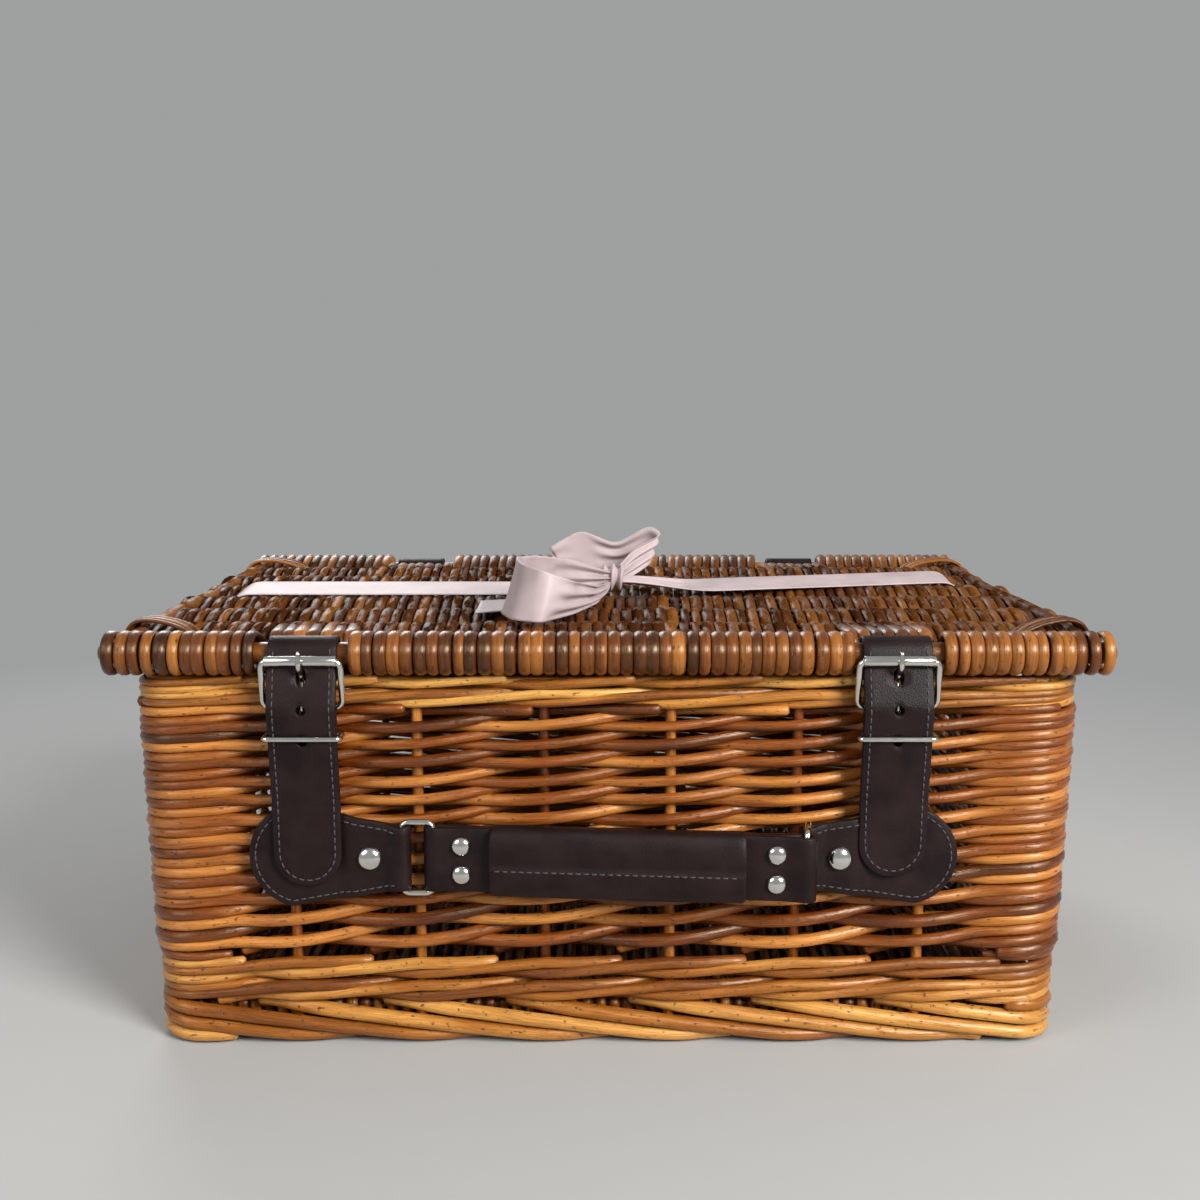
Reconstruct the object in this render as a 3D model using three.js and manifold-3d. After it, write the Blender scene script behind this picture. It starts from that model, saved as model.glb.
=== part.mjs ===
// Wicker hamper: a woven willow body with a hinged woven lid, two leather closing straps with roller buckles,
// a leather carrying handle on wire rings, and a satin ribbon tied in a bow across the lid.
// Millimetres, +Z up, the front towards -Y, standing on z = 0.

import * as THREE from 'three';
import { mergeVertices } from 'three/addons/utils/BufferGeometryUtils.js';
import Module from 'manifold-3d';

const wasm = await Module();
wasm.setup();

const turn = 2 * Math.PI;

// Clearances
const seatGap = 0.3;
const pivotGap = 0.3;
const mitreGap = 0.4;

// Woven body, measured on the middle of its walls
const rimLength = 381;
const rimDepth = 276;
const bodyHeight = 160;
const wallFlare = 5.5;
const wallLining = 5;
const cornerRadius = 13;
const stakeDiameter = 5;
const stakePitch = 52.5;
const longStakes = 6;
const shortStakes = 4;

// Bands of weaving, from the foot up: height, rod, and how far a rod climbs per millimetre along the wall
const footHeight = 18;
const footRod = 5.5;
const footRise = -0.18;
const lowerWaleHeight = 22;
const lowerWaleRod = 5.4;
const waleRise = 0.1;
const weaverRod = 5.5;
const weaverPitch = 7;
const weaverRise = 0.105;
const rimHeight = 14;
const rimRod = 4.6;
const creaseShare = 0.4;

// Base panel and corner posts
const baseClearance = 8;
const baseThickness = 8;
const baseStickPitch = 49.2;
const baseSticks = 6;
const baseStickDip = 2.5;
const postDiameter = 10;

// Lid
const lidOverhang = 29;
const lidWidth = rimLength + lidOverhang;
const lidDepth = rimDepth + lidOverhang;
const lidThickness = 18.5;
const lidSticks = 8;
const bindingPitch = 15;
const lidPanelTop = 15.7;
const lidPanelBottom = 2.5;
const lidStickDip = 4;
const rodDiameter = 9;
const bindingCrease = 1;
const sideRodDiameter = 13;
const tieStrand = 3;
const tieInset = 20;
const tieReach = 12;

// Leather hinges at the back
const hingeSpacing = 218;
const hingeWidth = 27;
const hingeLeather = 2.2;
const hingeDrop = 28;
const bareMargin = 4;

// Closing straps, with tails that end below the handle's middle
const handleShare = 0.534;
const handleHeight = handleShare * bodyHeight;
const strapX = { left: -123, right: 117 };
const strapWidth = 28;
const strapLeather = 2.5;
const tailDrop = { left: 12.5, right: 8.5 };
const strapEnd = { left: handleHeight - tailDrop.left, right: handleHeight - tailDrop.right };
const strapHoleWidth = 4;
const strapHoleHeight = 7.5;
const strapHolePitch = 13;
const spareHoles = 2;
const spareHoleDiameter = 4;
const foldLength = 10;

// Buckles, chapes and keepers, placed from the rim
const buckleWidth = 34.6;
const buckleWire = 2.6;
const barDrop = 11.4;
const rollerRise = 8;
const keeperDrop = 23.5;
const barHeight = bodyHeight - barDrop;
const rollerHeight = bodyHeight + rollerRise;
const keeperHeight = bodyHeight - keeperDrop;
const rollerDiameter = 4.4;
const prongWire = 2.4;
const prongTip = 4;
const prongHoleShare = 0.64;
const chapeWidth = 26;
const chapeLeather = 2.2;
const chapeLength = 25;
const chapeSlot = 4;
const keeperWire = 2.2;

// Carrying handle
const handleWire = 2.6;
const ringSpan = 13;
const ringHeight = 33;
const tabBarX = { left: -84.5, right: 82.5 };
const tabEndX = { left: -125, right: 123.5 };
const tabEndRadius = { left: 22.7, right: 21 };
const tabLeather = 2.4;
const tabFold = 20;
const tabRivetSetback = 13;
const tabRivetDiameter = 10;
const ringSwing = THREE.MathUtils.degToRad(80);
const handleEndLength = 24;
const handleCore = 20;
const gripHeight = 29.5;
const gripBack = 5.2;
const gripFront = 8;
const rivetRim = 0.06;
const rivetCrown = 0.2;
const handleRivetDiameter = 8;
const handleRivetSpacing = 12.2;
const handleRivetSetback = 12;
const pivotSlack = 2;
const foldOpening = 0.14 * turn;

// Ribbon and bow
const ribbonWidth = 25;
const ribbonThickness = 0.8;
const ribbonInset = 3.7;
const ribbonEndY = { left: -5, right: 44 };
const gatherReach = 52;
const gatherWidth = 9;
const knotX = 3;
const knotY = -4.6;
const knotLength = 11;
const knotDepth = 13;
const knotHeight = 12;
const loopSteps = 20;
const loops = {
  left: { heading: -112, length: 100, width: 54, rise: 0 },
  right: { heading: 38, length: 34, width: 22, rise: 4.5 },
};

const materials = {
  willow: { color: 0xa8703a, roughness: 0.55, metalness: 0 },
  paleWillow: { color: 0xbb8a4c, roughness: 0.55, metalness: 0 },
  darkWillow: { color: 0x7a5230, roughness: 0.5, metalness: 0 },
  leather: { color: 0x2c1d1e, roughness: 0.6, metalness: 0 },
  nickel: { color: 0xc9c6c0, roughness: 0.2, metalness: 1 },
  satin: { color: 0xd9b9bd, roughness: 0.35, metalness: 0 },
};

const hamper = new THREE.Group();

function piece(parent, name, geometry, material) {
  const mesh = new THREE.Mesh(geometry, new THREE.MeshStandardMaterial(materials[material]));
  mesh.name = name;
  parent.add(mesh);
  return mesh;
}

function pivotGroup(parent, x, y, z) {
  const group = new THREE.Group();
  group.position.set(x, y, z);
  parent.add(group);
  return group;
}

// Solid from corner points and triangles; triangles that have shrunk to a line are dropped
function closedSolid(corners, triangles) {
  const geometry = new THREE.BufferGeometry();
  const whole = triangles.filter(([a, b, c]) => a !== b && b !== c && c !== a);
  geometry.setAttribute('position', new THREE.Float32BufferAttribute(corners.flatMap((p) => p.toArray()), 3));
  geometry.setIndex(whole.flat());
  return geometry;
}

function quad(a, b, c, d) {
  return [[a, b, c], [a, c, d]];
}

// Joins and cuts
function solidOf(geometry) {
  const bare = geometry.clone();
  bare.deleteAttribute('normal');
  bare.deleteAttribute('uv');
  const merged = mergeVertices(bare, 1e-4);
  const vertProperties = new Float32Array(merged.attributes.position.array);
  const triVerts = new Uint32Array(merged.index.array);
  return new wasm.Manifold(new wasm.Mesh({ numProp: 3, vertProperties, triVerts }));
}

function geometryOf(solid) {
  const mesh = solid.getMesh();
  const geometry = new THREE.BufferGeometry();
  geometry.setAttribute('position', new THREE.Float32BufferAttribute(mesh.vertProperties, 3));
  geometry.setIndex(new THREE.BufferAttribute(mesh.triVerts, 1));
  return geometry;
}

function crossing(a, b) {
  return geometryOf(solidOf(a).intersect(solidOf(b)));
}

function cut(a, b) {
  return geometryOf(solidOf(a).subtract(solidOf(b)));
}

// Outlines and extrusions
function arcPoints(x, y, radius, from, to, steps) {
  return Array.from({ length: steps + 1 }, (_, i) => {
    const angle = from + ((to - from) * i) / steps;
    return new THREE.Vector2(x + radius * Math.cos(angle), y + radius * Math.sin(angle));
  });
}

// Shape with its outline counter-clockwise and its holes clockwise
function shapeOf(points, holes = []) {
  const wind = (ring, clockwise) => {
    return THREE.ShapeUtils.isClockWise(ring) === clockwise ? ring : [...ring].reverse();
  };
  const shape = new THREE.Shape(wind(points, false));
  shape.holes = holes.map((hole) => new THREE.Path(wind(hole, true)));
  return shape;
}

function extrude(shape, depth) {
  return new THREE.ExtrudeGeometry(shape, { depth, bevelEnabled: false, steps: 1 });
}

const axisX = new THREE.Vector3(1, 0, 0);
const axisY = new THREE.Vector3(0, 1, 0);
const axisZ = new THREE.Vector3(0, 0, 1);

// A section drawn in (y, z), carried along X and centred there
function alongX(shape, width) {
  const turn = new THREE.Matrix4().makeBasis(axisY, axisZ, axisX);
  return extrude(shape, width).applyMatrix4(turn).translate(-width / 2, 0, 0);
}

// An outline drawn in (x, z), carried towards -Y from y = from
function alongY(shape, depth, from) {
  const turn = new THREE.Matrix4().makeBasis(axisX, axisZ, axisY.clone().negate());
  return extrude(shape, depth).applyMatrix4(turn).translate(0, from, 0);
}

// A section drawn in (x, y), carried along Z and centred there
function alongZ(shape, height) {
  return extrude(shape, height).translate(0, 0, -height / 2);
}

function roundedRectangle(width, height, radius) {
  const x = width / 2 - radius;
  const y = height / 2 - radius;
  const corner = Math.PI / 2;
  return [
    ...arcPoints(x, y, radius, 0, corner, 2),
    ...arcPoints(-x, y, radius, corner, 2 * corner, 2),
    ...arcPoints(-x, -y, radius, 2 * corner, 3 * corner, 2),
    ...arcPoints(x, -y, radius, 3 * corner, 4 * corner, 2),
  ];
}

// Rectangular loop of round wire, lying in the (x, y) plane
function wireLoop(width, height, wire) {
  const bevel = wire * (1 - Math.SQRT1_2);
  const outer = roundedRectangle(width - 2 * bevel, height - 2 * bevel, wire - bevel);
  const inner = roundedRectangle(width - 2 * wire + 2 * bevel, height - 2 * wire + 2 * bevel, wire / 2);
  const bevels = { bevelEnabled: true, bevelSize: bevel, bevelThickness: bevel, bevelSegments: 1 };
  const depth = wire - 2 * bevel;
  const geometry = new THREE.ExtrudeGeometry(shapeOf(outer, [inner]), { depth, steps: 1, ...bevels });
  return geometry.translate(0, 0, -depth / 2);
}

function domeRivet(diameter) {
  const radius = diameter / 2;
  const rim = diameter * rivetRim;
  const crown = diameter * rivetCrown;
  const dome = arcPoints(0, rim, 1, 0, Math.PI / 2, 3);
  const profile = dome.map((p) => new THREE.Vector2(p.x * radius, rim + (p.y - rim) * crown));
  profile[profile.length - 1].x = 0;
  return new THREE.LatheGeometry([new THREE.Vector2(0, 0), new THREE.Vector2(radius, 0), ...profile], 8);
}

// Faces between two ladders of points that both climb the same way, advancing the one that lags
function zip(a, b) {
  const triangles = [];
  let i = 0;
  let j = 0;
  while (i < a.length - 1 || j < b.length - 1) {
    const stepA = j === b.length - 1 || (i < a.length - 1 && i / (a.length - 1) <= j / (b.length - 1));
    if (stepA) {
      triangles.push([a[i], a[i + 1], b[j]]);
      i += 1;
    } else {
      triangles.push([a[i], b[j + 1], b[j]]);
      j += 1;
    }
  }
  return triangles;
}

// Woven body

const stakeFace = stakeDiameter / 2;
const edgeSnap = 0.5;
const wallBottom = footHeight + lowerWaleHeight + 2 * seatGap;
const rimBottom = bodyHeight - rimHeight;

// A cycle of 1 always passes in front, 2 is over one and under one, 3 is over two and under one
const bands = [
  {
    name: 'foot',
    bottom: 0,
    top: footHeight,
    rod: footRod,
    pitch: -footRise * stakePitch,
    rise: footRise,
    cycle: 1,
    step: 1,
  },
  {
    name: 'lower_wale',
    bottom: footHeight + seatGap,
    top: wallBottom - seatGap,
    rod: lowerWaleRod,
    pitch: lowerWaleRod,
    rise: waleRise,
    cycle: 3,
    step: 1,
  },
  {
    name: 'wall',
    bottom: wallBottom,
    top: rimBottom - seatGap,
    rod: weaverRod,
    pitch: weaverPitch,
    rise: weaverRise,
    cycle: 2,
    step: 0.5,
  },
  {
    name: 'rim',
    bottom: rimBottom,
    top: bodyHeight,
    rod: rimRod,
    pitch: rimRod,
    rise: waleRise,
    cycle: 3,
    step: 1,
  },
];

const sides = [
  { name: 'front', along: rimLength / 2, away: rimDepth / 2, stakes: longStakes },
  { name: 'right', along: rimDepth / 2, away: rimLength / 2, stakes: shortStakes },
  { name: 'back', along: rimLength / 2, away: rimDepth / 2, stakes: longStakes },
  { name: 'left', along: rimDepth / 2, away: rimLength / 2, stakes: shortStakes },
];

// Half a wall-to-wall size of the body at a height, from its size at the rim
function wallMid(half, z) {
  return half - wallFlare * (1 - z / bodyHeight);
}

// A side's upright lines of points: mitred corners, stakes and, for fine weaving, the spaces between stakes
function sideColumns(stakes, step) {
  const mitre = Math.PI / 4 - mitreGap / 2 / cornerRadius;
  const columns = [mitre, 0].map((turn) => ({ end: -1, turn }));
  for (let order = step - 1; order < stakes; order += step) {
    columns.push({ end: 0, order, x: (order - (stakes - 1) / 2) * stakePitch });
  }
  return columns.concat([0, mitre].map((turn) => ({ end: 1, turn })));
}

function wallPoint(side, column, z, out) {
  const x = wallMid(side.along, z) - cornerRadius;
  const y = wallMid(side.away, z) - cornerRadius;
  const reach = cornerRadius + out;
  if (column.end === 0) {
    return new THREE.Vector3(column.x, -y - reach, z);
  }
  const bend = x + reach * Math.sin(column.turn);
  return new THREE.Vector3(column.end * bend, -y - reach * Math.cos(column.turn), z);
}

// How far out the face of a rod lies: in front of the stake, behind it, or on its way between two stakes
function rodFace(band, stakes, column, rod) {
  const front = stakeFace + band.rod;
  const atStake = (order) => {
    const behind = band.cycle > 1 && (order - rod) % band.cycle === 0;
    const outside = order < 0 || order >= stakes;
    return behind && !outside ? -stakeFace : front;
  };
  if (column.end !== 0) {
    return front;
  }
  return (atStake(Math.floor(column.order)) + atStake(Math.ceil(column.order))) / 2;
}

// Odd rows run along the crests of the rods, even rows along the creases between them
function rowFace(band, stakes, column, row) {
  const backing = Number.isInteger(column.order) ? stakeFace : -stakeFace;
  const lower = rodFace(band, stakes, column, Math.floor((row - 1) / 2));
  if (row % 2 !== 0) {
    return Math.max(backing, lower);
  }
  const upper = rodFace(band, stakes, column, row / 2);
  return Math.max(backing, Math.min(lower, upper) - creaseShare * band.rod);
}

function wovenSide(side, band) {
  const columns = sideColumns(side.stakes, band.step);
  const corners = [];
  const add = (point) => corners.push(point) - 1;
  const halfRun = wallMid(side.along, (band.bottom + band.top) / 2) - cornerRadius;
  const runOf = (column) => {
    return column.end === 0 ? column.x : column.end * (halfRun + cornerRadius * column.turn);
  };
  const climb = Math.abs(band.rise) * (halfRun + cornerRadius);
  const rowHeight = band.pitch / 2;
  const firstRow = Math.floor(-climb / rowHeight) - 1;
  const lastRow = Math.ceil((band.top - band.bottom + climb) / rowHeight) + 1;
  const outer = columns.map((column) => {
    const low = add(wallPoint(side, column, band.bottom, stakeFace));
    const high = add(wallPoint(side, column, band.top, stakeFace));
    const ladder = [];
    for (let row = firstRow; row <= lastRow; row += 1) {
      const z = band.bottom + row * rowHeight + band.rise * runOf(column);
      if (z < band.bottom + edgeSnap) {
        ladder.push(low);
      } else if (z > band.top - edgeSnap) {
        ladder.push(high);
      } else {
        ladder.push(add(wallPoint(side, column, z, rowFace(band, side.stakes, column, row))));
      }
    }
    return ladder;
  });
  const last = columns.length - 1;
  const rungs = outer.map((ladder) => ladder.filter((id, i) => id !== ladder[i - 1]));
  const inner = rungs.map((ladder, c) => {
    const kept = c === 0 || c === last ? ladder : [ladder[0], ladder.at(-1)];
    return kept.map((id) => add(wallPoint(side, columns[c], corners[id].z, -wallLining)));
  });
  const triangles = [...zip(rungs[0], inner[0]), ...zip(inner[last], rungs[last])];
  for (let c = 0; c < last; c += 1) {
    const [face, nextFace, back, nextBack] = [outer[c], outer[c + 1], inner[c], inner[c + 1]];
    triangles.push(...zip(nextFace, face), ...zip(back, nextBack));
    triangles.push(...quad(face[0], back[0], nextBack[0], nextFace[0]));
    triangles.push(...quad(face.at(-1), nextFace.at(-1), nextBack.at(-1), back.at(-1)));
  }
  return closedSolid(corners, triangles);
}

sides.forEach((side, quarter) => {
  const group = pivotGroup(hamper, 0, 0, 0);
  group.rotation.z = (quarter * Math.PI) / 2;
  for (const band of bands) {
    const willow = band.name === 'wall' ? 'willow' : 'paleWillow';
    piece(group, `${band.name}_${side.name}`, wovenSide(side, band), willow);
  }
});

// Woven slab: strands run front to back and cross between sticks, so both faces rise to a ridge at each stick
function wovenSlab(width, depth, [bottom, top], stickPitch, sticks, dip) {
  const first = -((sticks - 1) * stickPitch) / 2;
  const marks = Array.from({ length: 4 * sticks - 3 }, (_, i) => first + (i * stickPitch) / 4);
  const across = [-depth / 2, ...marks.filter((y) => Math.abs(y) < depth / 2 - seatGap), depth / 2];
  const valley = (y) => dip * (1 - Math.abs(Math.cos((Math.PI * (y - first)) / stickPitch)));
  const upper = across.map((y) => new THREE.Vector2(y, top - valley(y)));
  const lower = across.map((y) => new THREE.Vector2(y, bottom + valley(y)));
  return alongX(shapeOf([...lower, ...upper.reverse()]), width);
}

// Base panel, cut to the inside of the foot
const baseTop = baseClearance + baseThickness;
const baseInset = wallLining + seatGap;
const baseLength = 2 * (wallMid(rimLength / 2, baseClearance) - baseInset);
const baseDepth = 2 * (wallMid(rimDepth / 2, baseClearance) - baseInset);
const baseOutline = roundedRectangle(baseLength, baseDepth, cornerRadius - baseInset);
const basePrism = alongZ(shapeOf(baseOutline), bodyHeight).translate(0, 0, bodyHeight / 2);
const baseFaces = [baseClearance, baseTop];
const baseSlab = wovenSlab(baseLength, baseDepth, baseFaces, baseStickPitch, baseSticks, baseStickDip);
piece(hamper, 'base_panel', crossing(baseSlab, basePrism), 'darkWillow');

// Corner posts stand on the base inside the corners and lean with the walls
function circlePoints(diameter, steps) {
  return arcPoints(0, 0, diameter / 2, 0, 2 * Math.PI, steps).slice(0, steps);
}

function rodBetween(from, to, diameter, steps) {
  const extrudePath = new THREE.LineCurve3(from, to);
  return new THREE.ExtrudeGeometry(shapeOf(circlePoints(diameter, steps)), { extrudePath, steps: 1 });
}

const postSlack = cornerRadius - wallLining - (postDiameter / 2 + seatGap) / Math.cos(Math.PI / 8);
const postInset = cornerRadius - postSlack / Math.SQRT2;
const postAt = (signX, signY, z) => {
  const x = wallMid(rimLength / 2, z) - postInset;
  const y = wallMid(rimDepth / 2, z) - postInset;
  return new THREE.Vector3(signX * x, signY * y, z);
};
for (const [word, signY] of [['front', -1], ['back', 1]]) {
  for (const [hand, signX] of [['left', -1], ['right', 1]]) {
    const foot = postAt(signX, signY, baseTop + seatGap);
    const head = postAt(signX, signY, bodyHeight - seatGap);
    piece(hamper, `post_${word}_${hand}`, rodBetween(foot, head, postDiameter, 10), 'willow');
  }
}

// Lid

const lidBottom = bodyHeight + seatGap;
const rodRadius = rodDiameter / 2;
const bindingRadius = lidThickness / 2;
const lidMiddle = lidBottom + bindingRadius;
const frontRodY = bindingRadius - lidDepth / 2;
const backRodY = -frontRodY;
const panelDepth = lidDepth - 4 * bindingRadius - 2 * seatGap;
const panelWidth = lidWidth - 2 * sideRodDiameter - 2 * seatGap;
const panelTop = lidBottom + lidPanelTop;
const strapGap = strapWidth / 2 + bareMargin;
const hingeGap = hingeWidth / 2 + bareMargin;

// Rod along X, bound with strand except where straps pass round it
function boundRod(length, radius, core, crease, pitch, bareStretches) {
  const marks = [-length / 2, ...bareStretches.flat(), length / 2];
  const profile = [new THREE.Vector2(0, marks[0])];
  for (let m = 0; m < marks.length; m += 2) {
    const [from, to] = [marks[m], marks[m + 1]];
    const wraps = Math.max(1, Math.round((to - from) / pitch));
    if (m > 0) {
      profile.push(new THREE.Vector2(core, from));
    }
    for (let i = 0; i <= 2 * wraps; i += 1) {
      const reach = i % 2 === 0 ? radius - crease : radius;
      profile.push(new THREE.Vector2(reach, from + ((to - from) * i) / (2 * wraps)));
    }
    if (m + 2 < marks.length) {
      profile.push(new THREE.Vector2(core, to));
    }
  }
  profile.push(new THREE.Vector2(0, length / 2));
  return new THREE.LatheGeometry(profile, 8).rotateZ(-Math.PI / 2);
}

const strapStretches = [strapX.left, strapX.right].map((x) => [x - strapGap, x + strapGap]);
const hingeX = { left: -hingeSpacing / 2, right: hingeSpacing / 2 };
const hingeStretches = [hingeX.left, hingeX.right].map((x) => [x - hingeGap, x + hingeGap]);
const bindingOf = (stretches) =>
  boundRod(lidWidth, bindingRadius, rodRadius, bindingCrease, bindingPitch, stretches);

const lid = pivotGroup(hamper, 0, 0, lidMiddle);
piece(lid, 'lid_front_rod', bindingOf(strapStretches), 'darkWillow').position.y = frontRodY;
piece(lid, 'lid_back_rod', bindingOf(hingeStretches), 'darkWillow').position.y = backRodY;
const lidStickPitch = (backRodY - frontRodY) / (lidSticks - 1);
const lidFaces = [lidPanelBottom, lidPanelTop];
const lidSlab = wovenSlab(panelWidth, panelDepth, lidFaces, lidStickPitch, lidSticks, lidStickDip);
piece(lid, 'lid_panel', lidSlab.translate(0, 0, -bindingRadius), 'darkWillow');

const sideRodX = lidWidth / 2 - sideRodDiameter / 2;
for (const [hand, sign] of [['left', -1], ['right', 1]]) {
  const rod = boundRod(panelDepth, sideRodDiameter / 2, rodRadius, 0, panelDepth / 4, []);
  piece(lid, `lid_side_rod_${hand}`, rod.rotateZ(Math.PI / 2), 'darkWillow').position.x = sign * sideRodX;
}

// Corner ties: a strand over the side rod and onto the panel
function cornerTie(sign) {
  const bend = sideRodDiameter / 2 + seatGap + tieStrand / 2;
  const start = Math.PI * 0.3;
  const points = arcPoints(sideRodX, 0, bend, start, Math.PI / 2, 3);
  points.push(new THREE.Vector2(sideRodX - tieReach, bend));
  const path = new THREE.CatmullRomCurve3(points.map((p) => new THREE.Vector3(sign * p.x, 0, p.y)));
  const options = { extrudePath: path, steps: 4 };
  return new THREE.ExtrudeGeometry(shapeOf(circlePoints(tieStrand, 6)), options);
}
for (const [word, signY] of [['front', -1], ['back', 1]]) {
  for (const [hand, signX] of [['left', -1], ['right', 1]]) {
    const tie = piece(lid, `corner_tie_${word}_${hand}`, cornerTie(signX), 'willow');
    tie.position.y = signY * (panelDepth / 2 - tieInset);
  }
}

// Leather on the front and back walls

const weaveFace = stakeFace + weaverRod;
const leatherSeat = weaveFace + seatGap;
const frontY = (out, z) => -wallMid(rimDepth / 2, z) - out;
const barRadius = buckleWire / 2;
const barOut = leatherSeat + chapeLeather + pivotGap + barRadius;
const chapeLoop = barRadius + pivotGap + chapeLeather;
const chapeFace = leatherSeat + 2 * chapeLeather;
const chapeEnd = barHeight - chapeLength;
const tabFace = leatherSeat + tabLeather;

// Strap section in (y, z): sewn round a lid rod, then down a line of (y, z) points; sign is -1 at the front
function strapSection(rodY, line, leather, sign) {
  const inner = rodRadius + pivotGap;
  const outer = inner + leather;
  const loop = arcPoints(0, 0, outer, turn / 2, -turn / 6, 9).map((p) => [p.x, p.y]);
  const foldEnd = lidMiddle - foldLength;
  const below = line.filter((p) => p.z < foldEnd);
  const back = [{ y: lineAt(line, foldEnd), z: foldEnd }, ...below].map((p) => [p.y, p.z, -leather / 2]);
  const front = [...line.slice(1)].reverse().map((p) => [p.y, p.z, leather / 2]);
  const points = loop.map(([u, v]) => new THREE.Vector2(rodY - sign * u, lidMiddle + v));
  for (const [y, z, shift] of [...back, ...front]) {
    points.push(new THREE.Vector2(y + sign * shift, z));
  }
  const hole = circlePoints(2 * inner, 10).map((p) => p.add(new THREE.Vector2(rodY, lidMiddle)));
  return shapeOf(points, [hole]);
}

// Where a line of (y, z) points, listed from the top down, lies at a height
function lineAt(line, z) {
  const next = line.findIndex((p) => p.z <= z);
  const [high, low] = [line[Math.max(0, next - 1)], line[Math.max(1, next)]];
  return THREE.MathUtils.mapLinear(z, low.z, high.z, low.y, high.y);
}

const hingeLine = [
  { z: lidMiddle, y: backRodY + rodRadius + pivotGap + hingeLeather / 2 },
  { z: rimBottom, y: -frontY(leatherSeat + hingeLeather / 2, rimBottom) },
  { z: bodyHeight - hingeDrop, y: -frontY(leatherSeat + hingeLeather / 2, bodyHeight - hingeDrop) },
];
for (const hand of ['left', 'right']) {
  const section = strapSection(backRodY, hingeLine, hingeLeather, 1);
  piece(hamper, `hinge_strap_${hand}`, alongX(section, hingeWidth), 'leather').position.x = hingeX[hand];
}

// Closing straps, each with its chape, buckle, roller, prong and keeper
function strapLine(hand) {
  const tabTop = handleHeight + tabEndRadius[hand] + strapLeather;
  const half = strapLeather / 2 + seatGap;
  return [
    { z: lidMiddle, y: frontRodY - rodRadius - pivotGap - strapLeather / 2 },
    { z: barHeight, y: frontY(barOut + chapeLoop + half, barHeight) },
    { z: chapeEnd, y: frontY(chapeFace + half, chapeEnd) },
    { z: tabTop, y: frontY(tabFace + half, tabTop) },
    { z: strapEnd[hand], y: frontY(tabFace + half, strapEnd[hand]) },
  ];
}

const prongHole = barHeight + prongHoleShare * (rollerHeight - barHeight);

// Face of a strap in (x, z): a round tail, the long hole that holds the prong and the spare holes below it
function strapOutline(hand) {
  const radius = strapWidth / 2;
  const end = strapEnd[hand];
  const top = lidMiddle + bindingRadius;
  const tail = arcPoints(0, end + radius, radius, -turn / 2, 0, 10);
  const oval = circlePoints(1, 8).map((p) => {
    return new THREE.Vector2(p.x * strapHoleWidth, prongHole + p.y * strapHoleHeight);
  });
  const spares = Array.from({ length: spareHoles }, (_, i) => {
    const height = prongHole - (i + 1) * strapHolePitch;
    return circlePoints(spareHoleDiameter, 6).map((p) => p.add(new THREE.Vector2(0, height)));
  });
  const head = [new THREE.Vector2(radius, top), new THREE.Vector2(-radius, top)];
  return shapeOf([...tail, ...head], [oval, ...spares]);
}

// Chape section in (y, z): a loop round the buckle's bar, doubled down the wall, notched for the keeper
function chapeSection() {
  const notch = keeperWire / 2 + seatGap;
  const notchDepth = keeperWire + 2 * seatGap;
  const at = (out, z) => new THREE.Vector2(frontY(out, z), z);
  const bar = at(barOut, barHeight);
  const points = [
    at(chapeFace, chapeEnd),
    at(leatherSeat, chapeEnd),
    at(leatherSeat, keeperHeight - notch),
    at(leatherSeat + notchDepth, keeperHeight - notch),
    at(leatherSeat + notchDepth, keeperHeight + notch),
    at(leatherSeat, keeperHeight + notch),
    ...arcPoints(bar.x, bar.y, chapeLoop, 0, turn / 2 + foldOpening, 10),
    at(chapeFace, barHeight - 2.5 * chapeLoop),
  ];
  const hole = circlePoints(2 * (barRadius + pivotGap), 10).map((p) => p.add(bar));
  return shapeOf(points, [hole]);
}

function chape() {
  const reach = 4 * chapeLoop;
  const slot = new THREE.BoxGeometry(chapeSlot, reach, reach);
  const slotBottom = barHeight - 2 * chapeLoop;
  slot.translate(0, frontY(barOut, barHeight), slotBottom + reach / 2);
  return cut(alongX(chapeSection(), chapeWidth), slot);
}

// Prong in (y, z) about the buckle's bar: round the bar, up behind the strap, through it and over the roller
function prong(line, bar, roller) {
  const radius = prongWire / 2;
  const wrap = barRadius + pivotGap + radius;
  const behind = strapLeather / 2 + seatGap + 1.15 * radius;
  const clear = rollerDiameter / 2 + 2 * seatGap + radius;
  const besideStrap = [0.3, 0.56].map((share) => {
    const z = bar.y + share * (roller.y - bar.y);
    return new THREE.Vector2(lineAt(line, z) + behind, z);
  });
  const through = [0, prongWire].map((rise) => {
    const z = prongHole + rise;
    return new THREE.Vector2(lineAt(line, z) - rise * 0.8, z);
  });
  const overRoller = [0.64, 0.5].map((share) => arcPoints(roller.x, roller.y, clear, share * turn, 0, 1)[0]);
  const tip = new THREE.Vector2(roller.x - clear, roller.y + prongTip);
  const route = [...arcPoints(bar.x, bar.y, wrap, 0.2 * turn, -turn / 2, 6), ...besideStrap, ...through];
  const path = [...route, ...overRoller, tip].map((p) => new THREE.Vector3(0, p.x - bar.x, p.y - bar.y));
  const extrudePath = new THREE.CatmullRomCurve3(path);
  return new THREE.ExtrudeGeometry(shapeOf(circlePoints(prongWire, 5)), { extrudePath, steps: 18 });
}

function rollerTube(length) {
  const bore = barRadius + pivotGap;
  const profile = [[bore, -1], [rollerDiameter / 2, -1], [rollerDiameter / 2, 1], [bore, 1], [bore, -1]];
  const points = profile.map(([r, end]) => new THREE.Vector2(r, (end * length) / 2));
  return new THREE.LatheGeometry(points, 10).rotateZ(-Math.PI / 2);
}

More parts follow.
